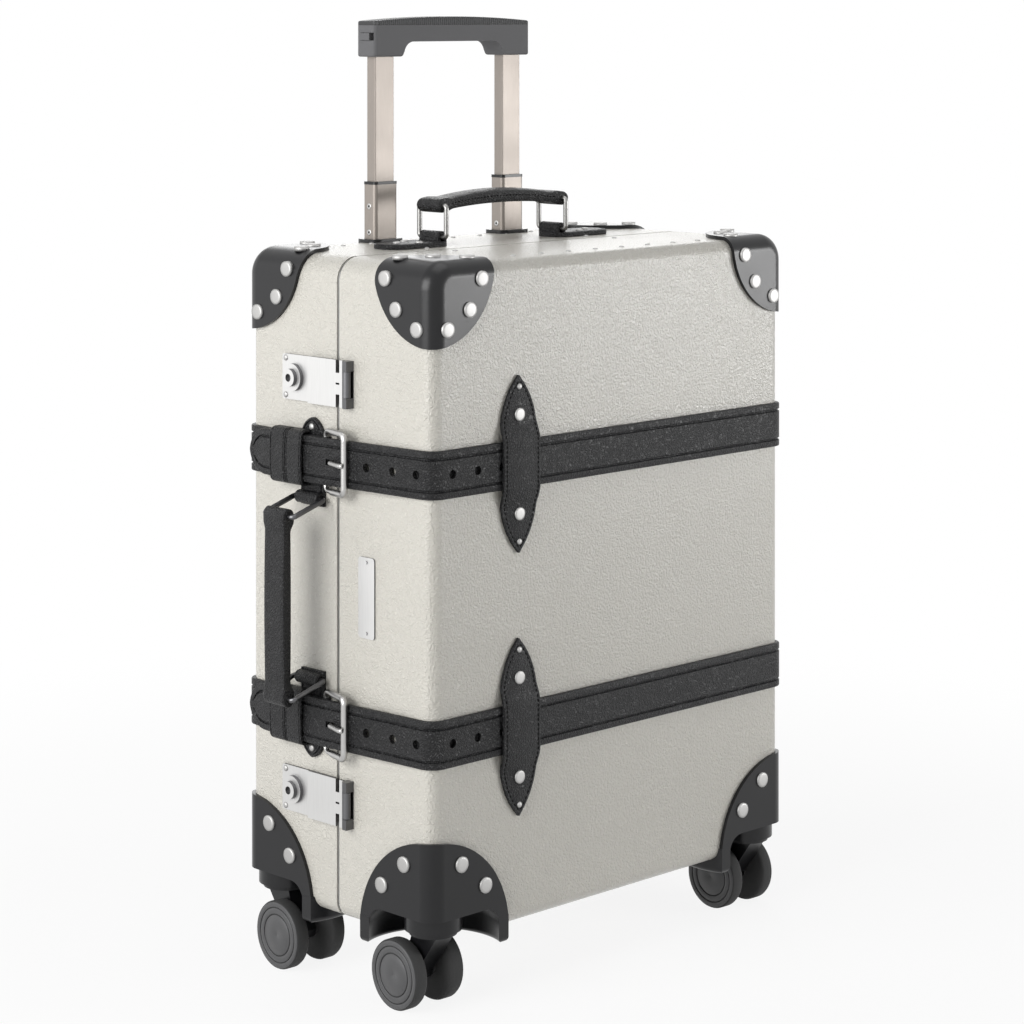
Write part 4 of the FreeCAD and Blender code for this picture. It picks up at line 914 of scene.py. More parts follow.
@dataclass
class Straps:
    """Leather straps round the case, with creased edges and punched holes."""

    width: float = 35.0
    hide: Hide = Hide(3.4, 1.1, 5.9, 1.3, 1.1)
    levels: dict[Level, float] = field(default_factory=lambda: {Level.UPPER: 390.5, Level.LOWER: 197.0})
    heel_y: float = 9.7
    heel_standoff: float = 3.5
    heel_room: float = 3.4
    chape_lift: float = 3.3
    chape_end: float = 42.4
    rest_back: float = 6.0
    rest_lift: float = 0.3
    bend_reach: float = 4.0
    tongue_lift: float = 7.1
    tongue_places: tuple[float, ...] = (-30.0, -45.0, -60.0, -75.0)
    bar_y: float = -19.5
    gap: float = 0.3
    tail_tip: float = 94.0
    tail_shoulder: float = 74.0
    tail_lift: float = 5.2
    tail_steps: int = 16
    tail_power: float = 2.2
    tip_half: float = 0.8
    hinge_span: float = 25.0
    hinge_blend: float = 22.0
    hinge_level: float = 300.0
    span_steps: int = 16
    hole_radius: float = 3.3
    hole_sides: int = 20
    hole_sunk: float = 0.4
    hole_reach: float = 30.0
    side_holes: tuple[float, ...] = (-39.0, -65.5, -89.0)
    front_holes: tuple[float, ...] = (-174.5, -149.5, -124.5)
    slot: tuple[float, float] = (-6.2, 2.8)
    slot_half: float = 2.5
    slit_start: float = -240.0
    slit_reach: float = 50.0
    prong_half: float = 2.2
    wrap_inner: float = 2.05
    wrap_outer: float = 3.3
    wrap_start: float = 80.0
    wrap_turn: float = 200.0
    wrap_steps: int = 14

    def strip(self, draft: Draft, run: Run, level: Level, halves: list[float] | None = None) -> Draft:
        """Adds a strip of strap that follows a run of points and outward ways.

        Args:
            draft: Where it is added.
            run: Points of its inner face at z = 0 and the ways out.
            level: Which strap.
            halves: Half widths along the run, where it tapers.

        Returns:
            The draft.
        """
        lifted = [(point + UP * self.levels[level], out) for point, out in run]
        sweep(draft, self.hide, lifted, UP, halves or [self.width / 2] * len(run))
        return draft

    def tongue(self, y: float) -> float:
        """Returns how far the tongue's inner face stands off the shell at y."""
        corner = CASE.depth / 2 - CASE.edge
        return self.tongue_lift * (y + corner) / (self.heel_y + corner)

    def left_run(self, pairs: Pairs) -> Run:
        """Lays out a run on the lock side, with bends eased.

        Args:
            pairs: Pairs of y and standoff along the run.

        Returns:
            The run.
        """
        points = [vec(-CASE.width / 2 - g, y, 0) for y, g in pairs]
        eased = [points[0]]
        for before, here, after in zip(points, points[1:], points[2:]):
            reach = min(self.bend_reach, (here - before).length / 3, (after - here).length / 3)
            a = here + (before - here).normalized() * reach
            b = here + (after - here).normalized() * reach
            eased += [a, (a + b) / 4 + here / 2, b]
        eased.append(points[-1])
        return [(p, LEFT) for p in eased]

    def round_run(self, start: Run, y_side: int) -> Run:
        """Returns a run that goes on from its start, round the front or back, to the hinge side.

        Args:
            start: The run on the lock side.
            y_side: Sign of the front or back.
        """
        end = vec(CASE.width / 2, y_side * (self.hinge_span + self.gap), 0)
        return [*start, *CASE.corner_run(-1, y_side), *reversed(CASE.corner_run(1, y_side)), (end, RIGHT)]

    def lid_run(self) -> Run:
        """Returns the run of the lid's strap, from the buckle round the front to the hinge side."""
        places = (self.bar_y - self.gap, *self.tongue_places)
        return self.round_run([(vec(-CASE.width / 2 - self.tongue(y), y, 0), LEFT) for y in places], -1)

    def base_run(self) -> Run:
        """Returns the run of the base's strap, from the buckle round the back to the hinge side."""
        rest_y = CASE.depth / 2 - CASE.edge - self.rest_back
        return self.round_run(self.left_run([(self.heel_y, self.chape_lift), (self.chape_end, self.chape_lift),
                                             (rest_y, self.rest_lift)]), 1)

    def tail_run(self) -> tuple[Run, list[float]]:
        """Lays out the tongue's tail.

        Returns:
            Its run and its half widths towards the point.
        """
        start = self.bar_y + self.gap
        rest = self.hide.thickness + self.gap
        run = self.left_run([(start, self.tongue(start)), (self.heel_y, self.tongue_lift),
                             (self.chape_end, self.tongue_lift), (self.tail_shoulder, self.tail_lift)])
        halves = [self.width / 2] * len(run)
        fall = (rest - self.tail_lift) / (CASE.depth / 2 - CASE.edge - self.tail_shoulder)
        for i in range(1, self.tail_steps + 1):
            share = math.sin(math.pi / 2 * i / self.tail_steps)
            y = self.tail_shoulder + (self.tail_tip - self.tail_shoulder) * share
            g = max(rest, self.tail_lift + fall * (y - self.tail_shoulder))
            run.append((vec(-CASE.width / 2 - g, y, 0), LEFT))
            taper = math.sqrt(max(0.0, 1 - share ** self.tail_power))
            halves.append(max(self.tip_half, self.width / 2 * taper))
        return run, halves

    def span_run(self) -> Run:
        """Returns the run of the leather over the hinges."""
        places = [-self.hinge_span + 2 * self.hinge_span * i / self.span_steps for i in range(self.span_steps + 1)]
        return [(vec(CASE.width / 2, y, 0), RIGHT) for y in places]

    def wrap(self, level: Level) -> Draft:
        """Folds leather round a buckle's heel bar, open at the middle for the prong.

        Args:
            level: Which strap.

        Returns:
            A draft with the fold.
        """
        axis = vec(-CASE.width / 2 - self.heel_standoff, self.heel_y, self.levels[level])
        angles = [math.radians(self.wrap_start + self.wrap_turn * i / self.wrap_steps)
                  for i in range(self.wrap_steps + 1)]
        draft = Draft()
        for low, high in ((-self.width / 2, -self.slot_half), (self.slot_half, self.width / 2)):
            rows = []
            for angle in angles:
                way = vec(-math.sin(angle), math.cos(angle), 0)
                near = axis + way * self.wrap_inner
                far = axis + way * self.wrap_outer
                rows.append([near + UP * low, far + UP * low, far + UP * high, near + UP * high])
            draft.loft(rows)
        return draft

    def slit(self, z: float, low: float, high: float, half: float) -> Thing:
        """Returns a cutter for a slit on the lock side.

        Args:
            z: Height of its middle.
            low: Where it starts along y.
            high: Where it ends.
            half: Half its height.
        """
        ring = [vec(0, y, z + up * half) for y, up in ((low, -1), (high, -1), (high, 1), (low, 1))]
        return cutter(ring, RIGHT * self.slit_start, RIGHT * self.slit_reach)

    def hole(self, start: Vector, out: Vector) -> Thing:
        """Makes the cutter of a punched hole.

        Args:
            start: Where it starts.
            out: The way out.

        Returns:
            The cutter.
        """
        turns = [math.tau * i / self.hole_sides for i in range(self.hole_sides)]
        side = out.cross(UP)
        ring = [UP * math.cos(a) * self.hole_radius + side * math.sin(a) * self.hole_radius for a in turns]
        return cutter(ring, start, out * self.hole_reach)

    def holes(self, level: Level) -> list[Thing]:
        """Returns the cutters of the punched holes of one lid strap."""
        z = self.levels[level]
        return ([self.hole(vec(-CASE.width / 2 - self.hole_sunk, y, z), LEFT) for y in self.side_holes]
                + [self.hole(vec(x, -CASE.depth / 2 - self.hole_sunk, z), -BACK) for x in self.front_holes])

    def build(self) -> None:
        """Builds all strap pieces and sets them on the case."""
        lid_parts = []
        base_parts = []
        span = Draft()
        for level in Level:
            z = self.levels[level]
            lid = self.strip(Draft(), self.lid_run(), level).piece("lid_strap_" + level.value, LEATHER)
            lid_parts.append(carve(lid, self.holes(level)))
            base = self.strip(Draft(), self.base_run(), level).piece("base_strap_" + level.value, LEATHER)
            base_parts.append(carve(base, [self.slit(z, 0, self.heel_y + self.heel_room, self.slot_half)]))
            base_parts.append(self.wrap(level).piece("strap_fold_" + level.value, LEATHER))
            run, halves = self.tail_run()
            tail = self.strip(Draft(), run, level, halves).piece("strap_tail_" + level.value, LEATHER)
            base_parts.append(carve(tail, [self.slit(z, *self.slot, self.prong_half)]))
            self.strip(span, self.span_run(), level)
        set_on(join("lid_strap_leather", lid_parts), "lid", "strap_leather", "lid_straps")
        set_on(join("base_strap_leather", base_parts), "base", "strap_leather", "base_straps")
        bend = span.piece("hinge_strap_leather", LEATHER)
        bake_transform(bend)
        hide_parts("strap_hinge_spans")
        log.info("%s bends between base and lid", bend.name)


STRAPS = Straps()


@dataclass
class Keepers:
    """Lozenge keepers sewn over the straps on the front and the back, and doubled bands beside the buckles."""

    x: float = -106.5
    length: float = 131.0
    width: float = 37.5
    straight: float = 44.0
    lift: float = 3.7
    ramp: tuple[float, float] = (17.0, 33.0)
    hide: Hide = Hide(2.6, 0.9, 2.7, 0.25, 0.9)
    steps: int = 110
    end_gap: float = 0.2
    tip_half: float = 0.25
    stitch: tuple[float, float] = (2.6, 1.0)
    stitch_pitch: float = 3.5
    stitch_end: float = 60.0
    thread_sunk: float = 0.2
    band_hide: Hide = Hide(2.0, 0.7, 1.6, 0.5, 0.6)
    band_start: float = 27.2
    band_width: float = 17.8
    band_gap: float = 0.5
    band_foot: float = 3.3
    band_top: float = 11.2
    band_half: float = 18.8
    band_bend: float = 3.4
    band_bow: float = 0.7
    band_turns: int = 6
    band_steps: int = 8

    def half(self, rise: float) -> float:
        """Works out half a lozenge's width.

        Args:
            rise: Height from the strap's middle.

        Returns:
            Half the width there.
        """
        over = max(0.0, abs(rise) - self.straight / 2)
        point = (self.length - self.straight) / 2
        radius = (self.width ** 2 / 4 + point ** 2) / self.width
        return math.sqrt(max(0.0, radius ** 2 - over ** 2)) - radius + self.width / 2

    def standoff(self, rise: float) -> float:
        """Returns how far a lozenge stands off the shell at a height from the strap's middle."""
        low, high = self.ramp
        return self.lift * ease((high - abs(rise)) / (high - low))

    def lozenge(self, draft: Draft, side: Side, z: float) -> None:
        """Adds one lozenge.

        Args:
            draft: Where it is added.
            side: Front or back.
            z: Height of the strap under it.
        """
        out = vec(0, side.value, 0)
        rises = crowded(self.length / 2 - self.end_gap, self.steps)
        run = [(vec(self.x, side.value * (CASE.depth / 2 + self.standoff(r)), z + r), out) for r in rises]
        sweep(draft, self.hide, run, RIGHT, [max(self.tip_half, self.half(r)) for r in rises])

    def seam(self, side: Side, z: float, edge: int, rise: float) -> Vector:
        """Finds a point of the sewn line on a lozenge.

        Args:
            side: Front or back.
            z: Height of the strap under it.
            edge: Sign of the left or right edge.
            rise: Height from the strap's middle.

        Returns:
            The point.
        """
        slope = self.half(rise + 0.5) - self.half(rise - 0.5)
        across = self.half(rise) - self.hide.inset * math.hypot(1, slope)
        out = self.standoff(rise) + self.hide.thickness - self.thread_sunk
        return vec(self.x + edge * across, side.value * (CASE.depth / 2 + out), z + rise)

    def stitches(self, side: Side, z: float) -> list[Seat]:
        """Seats the stitches along both edges of one lozenge.

        Args:
            side: Front or back.
            z: Height of the strap under it.

        Returns:
            Their seats.
        """
        seats = []
        for edge in (-1, 1):
            for rise in evenly(self.stitch_end, self.stitch_pitch):
                along = self.seam(side, z, edge, rise + 0.5) - self.seam(side, z, edge, rise - 0.5)
                outward = RIGHT.cross(along) * -side.value
                seats.append(Seat(self.seam(side, z, edge, rise), outward, along))
        return seats

    def bands(self, draft: Draft, z: float) -> None:
        """Adds the two bands that hold the tongue beside one buckle.

        Args:
            draft: Where they are added.
            z: Height of the strap.
        """
        bend = self.band_bend
        inner = self.band_half - bend
        top = self.band_top - bend
        path = [((self.band_foot, -self.band_half), (0, -1)), ((top, -self.band_half), (0, -1))]
        turns = [math.pi / 2 * i / self.band_turns for i in range(1, self.band_turns)]
        path += [((top + bend * math.sin(a), -inner - bend * math.cos(a)), (math.sin(a), -math.cos(a)))
                 for a in turns]
        corner = list(reversed(path))
        for i in range(self.band_steps + 1):
            across = inner * (2 * i / self.band_steps - 1)
            path.append(((self.band_top + self.band_bow * (1 - (across / inner) ** 2), across), (1, 0)))
        path += [((s, -w), (out_s, -out_w)) for (s, w), (out_s, out_w) in corner]
        for index in (0, 1):
            y = self.band_start + self.band_width / 2 + index * (self.band_width + self.band_gap)
            run = [(vec(-CASE.width / 2 - s, y, z + w), vec(-out_s, 0, out_w)) for (s, w), (out_s, out_w) in path]
            sweep(draft, self.band_hide, run, BACK, [self.band_width / 2] * len(run))

    def build(self) -> None:
        """Builds the keepers of both halves and sets them on the case."""
        for side in Side:
            draft = Draft()
            seats = []
            for z in STRAPS.levels.values():
                self.lozenge(draft, side, z)
                seats += self.stitches(side, z)
                if side is Side.BASE:
                    self.bands(draft, z)
            name = side.body + "_keeper_leather"
            thread = StitchTree(side.body + "_keeper_thread", THREAD, *self.stitch).spread(seats)
            made = join(name, [draft.piece(name, LEATHER), thread])
            set_on(made, side.body, "strap_leather", side.body + "_strap_keepers")


@dataclass
class Grip:
    """A padded leather grip sewn round a wire bar at each end; its faces are given by the numbers of their bulge."""

    name: str
    centre: Vector
    along: Vector
    across: Vector
    length: float
    width: float
    rise: float = 0.0
    bordered: bool = False
    radius: float = 5.6
    waist: float = 0.7
    pinch: float = 0.20
    swell: float = 0.20
    neck: tuple[float, float] = (4.0, 12.0)
    border: float = 0.76
    rolled: tuple[float, ...] = (0.82, 0.18, 12, 0.5)
    plain: tuple[float, ...] = (0.45, 0.55, 3, 0.5)
    rim: tuple[float, ...] = (0.40, 0.12, 5, 0.5)
    pad: tuple[float, ...] = (0.40, 0.60, 2.6, 0.6)
    under: tuple[float, ...] = (0.80, 0.15, 6, 0.5)
    columns: tuple[float, ...] = (1.0, 0.985, 0.95, 0.90, 0.84, 0.79, 0.77, 0.755, 0.73, 0.68, 0.6, 0.45, 0.25)
    end_turn: float = 88.0
    sharp: float = 60.0
    thread_inset: float = 0.11
    thread_sunk: float = 0.1
    thread_height: float = 0.05
    body_steps: int = 72
    end_steps: int = 8
    stitch: tuple[float, float] = (2.4, 1.0)
    stitch_pitch: float = 3.4
    stitch_end: float = 10.0

    def body_share(self, t: float) -> float:
        """Returns 0 at the rolled ends and 1 in the sewn body."""
        start, full = self.neck
        return ease((self.length / 2 - abs(t) - start) / (full - start))

    def half_thickness(self, t: float) -> float:
        """Works out half the thickness.

        Args:
            t: Place along the grip.

        Returns:
            Half the thickness there.
        """
        beyond = abs(t) - self.length / 2
        if beyond > 0:
            return math.sqrt(max(0.0, self.radius ** 2 - beyond ** 2))
        fullness = math.sin(math.pi / 2 * (1 - abs(t) / (self.length / 2)))
        return self.radius * (1 + self.body_share(t) * (self.swell * fullness - self.pinch))

    def outer(self, u: float, share: float) -> float:
        """Shapes the outer face.

        Args:
            u: Place across, from -1 to 1.
            share: How much of the sewn body's form it has.

        Returns:
            Its height as a share of half the thickness.
        """
        size = abs(u)
        if not self.bordered:
            body = bulge(size, *self.plain)
        elif size >= self.border:
            body = bulge((size - self.border) / (1 - self.border), *self.rim)
        else:
            body = bulge(size / self.border, *self.pad)
        rolled = bulge(size, *self.rolled)
        return rolled + (body - rolled) * share

    def inner(self, u: float, share: float) -> float:
        """Returns the inner face's depth as a share of half the thickness."""
        rolled = bulge(abs(u), *self.rolled)
        return rolled + (bulge(abs(u), *self.under) - rolled) * share

    def arch(self, t: float) -> float:
        """Returns how far the grip's middle line rises at a place along it."""
        return self.rise * max(0.0, 1 - (2 * t / self.length) ** 2)

    def place(self, t: float, v: float, n: float) -> Vector:
        """Returns a point from places along, across and out of the grip."""
        out = self.along.cross(self.across)
        return self.centre + self.along * t + self.across * v + out * (n + self.arch(t))

    def row(self, t: float) -> Row:
        """Works out a closed cross section.

        Args:
            t: Place along the grip.

        Returns:
            Its points.
        """
        share = self.body_share(t)
        thick = self.half_thickness(t)
        half = self.width / 2 - self.waist * share
        outer = [*self.columns, 0.0, *[-u for u in reversed(self.columns)]]
        points = [self.place(t, half * u, thick * self.outer(u, share)) for u in outer]
        points += [self.place(t, half * u, -thick * self.inner(u, share)) for u in reversed(outer)]
        return points

    def stations(self) -> list[float]:
        """Divides the grip along its length.

        Returns:
            The places where it has a cross section.
        """
        half = self.length / 2
        turns = [math.radians(self.end_turn * i / self.end_steps) for i in range(1, self.end_steps + 1)]
        ends = [half + self.radius * math.sin(a) for a in turns]
        body = [half * (2 * i / self.body_steps - 1) for i in range(self.body_steps + 1)]
        return [-t for t in reversed(ends)] + body + ends

    def stitches(self) -> list[Seat]:
        """Seats the stitches along both edges.

        Returns:
            Their seats.
        """
        seats = []
        for edge in (-1, 1):
            for t in evenly(self.length / 2 - self.stitch_end, self.stitch_pitch):
                half = self.width / 2 - self.waist * self.body_share(t)
                thick = self.half_thickness(t)
                if self.bordered:
                    u = self.border + self.thread_inset
                    point = self.place(t, edge * half * u, thick * self.outer(u, 1.0))
                    outward = self.along.cross(self.across)
                else:
                    point = self.place(t, edge * (half - self.thread_sunk), thick * self.thread_height)
                    outward = self.across * edge
                seats.append(Seat(point, outward, self.place(t + 1, 0, 0) - self.place(t - 1, 0, 0)))
        return seats

    def build(self) -> None:
        """Builds the grip and sets it on its body."""
        name = self.name + "_leather"
        skin = Draft().loft([self.row(t) for t in self.stations()]).piece(name, LEATHER, self.sharp)
        thread = StitchTree(self.name + "_thread", THREAD, *self.stitch).spread(self.stitches())
        made = set_on(join(name, [skin, thread]), self.name, "strap_leather", self.name)


@dataclass
class Mounts:
    """Leather mounts of both handles, each rolled over the lower bar of a wire loop."""

    top_y: float = 32.4
    top_bar_x: float = 66.0
    top_bar_rise: float = 7.0
    top_inner: float = 58.5
    top_outer: float = 121.0
    top_width: float = 31.0
    top_round: float = 13.0
    top_hide: Hide = Hide(4.0, 1.3, 2.6, 0.9, 0.9)
    top_tab: float = 22.0
    side_y: float = 26.4
    side_bar_drop: float = 29.5
    side_bar_standoff: float = 5.2
    side_width: float = 26.0
    side_tip: float = 30.0
    side_point: float = 16.0
    side_end: float = 6.0
    side_hide: Hide = Hide(3.0, 0.9, 2.4, 0.9, 0.9)
    side_tab: float = 25.0
    bar_radius: float = 2.05
    roll_hide: Hide = Hide(2.75, 0.8, 2.2, 0.15, 0.6)
    roll_steps: int = 18
    tip_half: float = 0.3
    side_taper: float = 0.62
    top_sunk: float = 1.0
    side_sunk: float = 0.3
    steps: int = 36

    def roll(self, draft: Draft, bar: Vector, out: Vector, along: Vector, width: float, foot: float) -> None:
        """Adds leather that runs over a bar, with both its ends in the mount.

        Args:
            draft: Where it is added.
            bar: Middle of the bar.
            out: The way from the mount to the bar.
            along: The way of the leather over the bar.
            width: Its width.
            foot: How far its ends reach back from the bar.
        """
        r = self.bar_radius
        turns = [math.pi * i / self.roll_steps for i in range(self.roll_steps + 1)]
        ways = [along * math.cos(a) + out * math.sin(a) for a in turns]
        run = [(bar - out * foot + along * r, along), *[(bar + way * r, way) for way in ways],
               (bar - out * foot - along * r, -along)]
        sweep(draft, self.roll_hide, run, out.cross(along), [width / 2] * len(run))

    def top_half(self, x: float) -> float:
        """Works out half a top mount's width.

        Args:
            x: Place along the mount.

        Returns:
            Half the width there.
        """
        near = min(x - self.top_inner, self.top_outer - x)
        left = max(0.0, self.top_round - near)
        return self.top_width / 2 - self.top_round + math.sqrt(max(0.0, self.top_round ** 2 - left ** 2))

    def top(self, draft: Draft) -> None:
        """Adds the two mounts of the top handle.

        Args:
            draft: Where they are added.
        """
        middle = (self.top_inner + self.top_outer) / 2
        reach = (self.top_outer - self.top_inner) / 2
        places = [middle + shift for shift in crowded(reach, self.steps)]
        halves = [max(self.tip_half, self.top_half(x)) for x in places]
        for x_side in (-1, 1):
            run = [(vec(x_side * x, self.top_y, CASE.top), UP) for x in places]
            sweep(draft, self.top_hide, run, BACK, halves)
            bar = vec(x_side * self.top_bar_x, self.top_y, CASE.top + self.top_bar_rise)
            self.roll(draft, bar, UP, RIGHT, self.top_tab, self.top_bar_rise - self.top_sunk)

    def side(self, draft: Draft, level: Level, up: int) -> None:
        """Adds one mount of the side handle.

        Args:
            draft: Where it is added.
            level: Which strap it lies under.
            up: Sign of the way to its point.
        """
        z = STRAPS.levels[level]
        face = -CASE.width / 2
        half = self.side_width / 2
        shoulder = self.side_tip - self.side_point
        shares = [math.sin(math.pi / 2 * i / self.steps) for i in range(1, self.steps + 1)]
        rises = [-self.side_bar_drop - self.side_end, 0.0, shoulder]
        rises += [shoulder + self.side_point * s for s in shares]
        halves = [half] * 3 + [max(self.tip_half, half * (1 - s * s) ** self.side_taper) for s in shares]
        run = [(vec(face, self.side_y, z + up * rise), LEFT) for rise in rises]
        sweep(draft, self.side_hide, run, BACK, halves)
        bar = vec(face - self.side_bar_standoff, self.side_y, z - up * self.side_bar_drop)
        self.roll(draft, bar, LEFT, UP, self.side_tab, self.side_bar_standoff - self.side_sunk)

    def build(self) -> None:
        """Builds the mounts and sets them on the base."""
        top = Draft()
        self.top(top)
        set_on(top.piece("top_mount_leather", LEATHER), "base", "strap_leather", "top_handle_mounts")
        side = Draft()
        self.side(side, Level.UPPER, 1)
        self.side(side, Level.LOWER, -1)
        set_on(side.piece("side_mount_leather", LEATHER), "base", "strap_leather", "side_handle_mounts")


@dataclass
class Rivets:
    """Nickel heads on the caps, keepers, mounts, lock plates and tubes, and small ones along the shell's edges."""

    cap: Head = Head(5.8, 1.8, 0.25)
    cap_thickness: float = 3.0
    top_ring: float = 48.0
    top_angles: tuple[float, ...] = (15.0, 46.0, 76.0)
    bottom_ring: float = 62.0
    bottom_angles: tuple[float, ...] = (25.0, 54.0)
    keeper: Head = Head(4.8, 1.3, 0.2)
    keeper_offset: float = 36.5
    keeper_tip: Head = Head(2.2, 1.3, 0.9)
    keeper_tip_offset: float = 57.0
    mount: Head = Head(3.0, 1.3, 0.5)
    mount_places: tuple[tuple[float, float], ...] = ((104.0, 0.0), (88.5, 8.5), (88.5, -8.5))
    mount_tip: Head = Head(2.6, 1.3, 0.9)
    side_inset: float = 7.0
    edge: Head = Head(2.1, 0.9, 0.6)
    edge_y: float = 79.3
    edge_pitch: float = 29.4
    edge_count: int = 9
    rim_y: float = 16.0
    rim_x: tuple[float, ...] = (-88.0, 88.0)
    lock: Head = Head(2.3, 1.2, 0.8)
    lock_y: float = 57.6
    lock_rise: float = 13.9
    lock_thickness: float = 2.0
    locks: tuple[float, ...] = (448.5, 139.0)
    screw: Head = Head(2.4, 0.9, 0.1)
    # socket is a dark disc of painted shade that stands for the recess in each screw head
    socket: Head = Head(1.1, 0.97, 0.1)
    screw_x: float = 11.4
    screw_z: tuple[float, ...] = (569.5, 549.0)
    tube_x: float = 70.0
    tube_y: float = 89.0

    def cap_seats(self, side: Side) -> list[Seat]:
        """Seats the heads on one half's corner caps.

        Args:
            side: Which half.

        Returns:
            Their seats.
        """
        seats = []
        y_side = side.value
        for x_side in (-1, 1):
            x_face = x_side * (CASE.width / 2 + self.cap_thickness)
            y_face = y_side * (CASE.depth / 2 + self.cap_thickness)
            for ring, angles, level, up in ((self.top_ring, self.top_angles, CASE.top, -1),
                                            (self.bottom_ring, self.bottom_angles, CASE.bottom, 1)):
                for angle in map(math.radians, angles):
                    across = ring * math.sin(angle)
                    z = level + up * ring * math.cos(angle)
                    seats.append(Seat(vec(x_face, y_side * (CASE.depth / 2 - across), z), vec(x_side, 0, 0), UP))
                    seats.append(Seat(vec(x_side * (CASE.width / 2 - across), y_face, z), vec(0, y_side, 0), UP))
            for angle in map(math.radians, self.top_angles):
                x = x_side * (CASE.width / 2 - self.top_ring * math.cos(angle))
                y = y_side * (CASE.depth / 2 - self.top_ring * math.sin(angle))
                seats.append(Seat(vec(x, y, CASE.top + self.cap_thickness), UP, RIGHT))
        return seats

    def keeper_seats(self, side: Side, offset: float) -> list[Seat]:
        """Returns the seats at one distance from the straps on the keepers of one half."""
        y = side.value * (CASE.depth / 2 + KEEPERS.hide.thickness)
        return [Seat(vec(KEEPERS.x, y, z + up * offset), vec(0, side.value, 0), UP)
                for z in STRAPS.levels.values() for up in (-1, 1)]

    def edge_seats(self, side: Side) -> list[Seat]:
        """Seats the small heads on the top face of one half.

        Args:
            side: Which half.

        Returns:
            Their seats.
        """
        first = -self.edge_pitch * (self.edge_count - 1) / 2
        places = [(first + i * self.edge_pitch, self.edge_y) for i in range(self.edge_count)]
        places += [(x, self.rim_y) for x in self.rim_x]
        return [Seat(vec(x, side.value * y, CASE.top), UP, RIGHT) for x, y in places]

    def mount_seats(self) -> list[Seat]:
        """Returns the seats of the heads on the top handle's mounts."""
        z = CASE.top + MOUNTS.top_hide.thickness
        return [Seat(vec(x_side * x, MOUNTS.top_y + y, z), UP, RIGHT)
                for x_side in (-1, 1) for x, y in self.mount_places]

    def tip_seats(self) -> list[Seat]:
        """Seats the heads at the points of the side handle's mounts.

        Returns:
            Their seats.
        """
        rise = MOUNTS.side_tip - self.side_inset
        x = -CASE.width / 2 - MOUNTS.side_hide.thickness
        return [Seat(vec(x, MOUNTS.side_y, STRAPS.levels[level] + up * rise), LEFT, UP)
                for level, up in ((Level.UPPER, 1), (Level.LOWER, -1))]

    def lock_seats(self) -> list[Seat]:
        """Returns the seats of the pins on the lock plates."""
        x = -CASE.width / 2 - self.lock_thickness
        return [Seat(vec(x, self.lock_y, z + up * self.lock_rise), LEFT, UP) for z in self.locks for up in (-1, 1)]

    def screw_seats(self) -> list[Seat]:
        """Returns the seats of the screws on the trolley's tubes."""
        return [Seat(vec(x - self.screw_x, self.tube_y, z), LEFT, UP)
                for x in (-self.tube_x, self.tube_x) for z in self.screw_z]

    def build(self) -> None:
        """Builds the heads of each body and sets them on it."""
        for side in Side:
            rows = [("cap", self.cap, self.cap_seats(side)),
                    ("keeper", self.keeper, self.keeper_seats(side, self.keeper_offset)),
                    ("keeper_tip", self.keeper_tip, self.keeper_seats(side, self.keeper_tip_offset)),
                    ("edge", self.edge, self.edge_seats(side))]
            if side is Side.BASE:
                rows += [("mount", self.mount, self.mount_seats()), ("mount_tip", self.mount_tip, self.tip_seats()),
                         ("lock", self.lock, self.lock_seats())]
            pieces = [HeadTree(side.body + "_" + name, RIVET, head).spread(seats) for name, head, seats in rows]
            set_on(join(side.body + "_rivet_heads", pieces), side.body, "nickel", side.body + "_rivets")
        # The sockets are dark discs of painted shade on the screw heads.
        screws = [HeadTree(name, finish, head).spread(self.screw_seats()) for name, finish, head in (
            ("tube_screws", NICKEL, self.screw), ("screw_socket_shade", HOLE_SHADE, self.socket))]
        set_on(join("tube_screws", screws), "trolley_middle", "nickel")


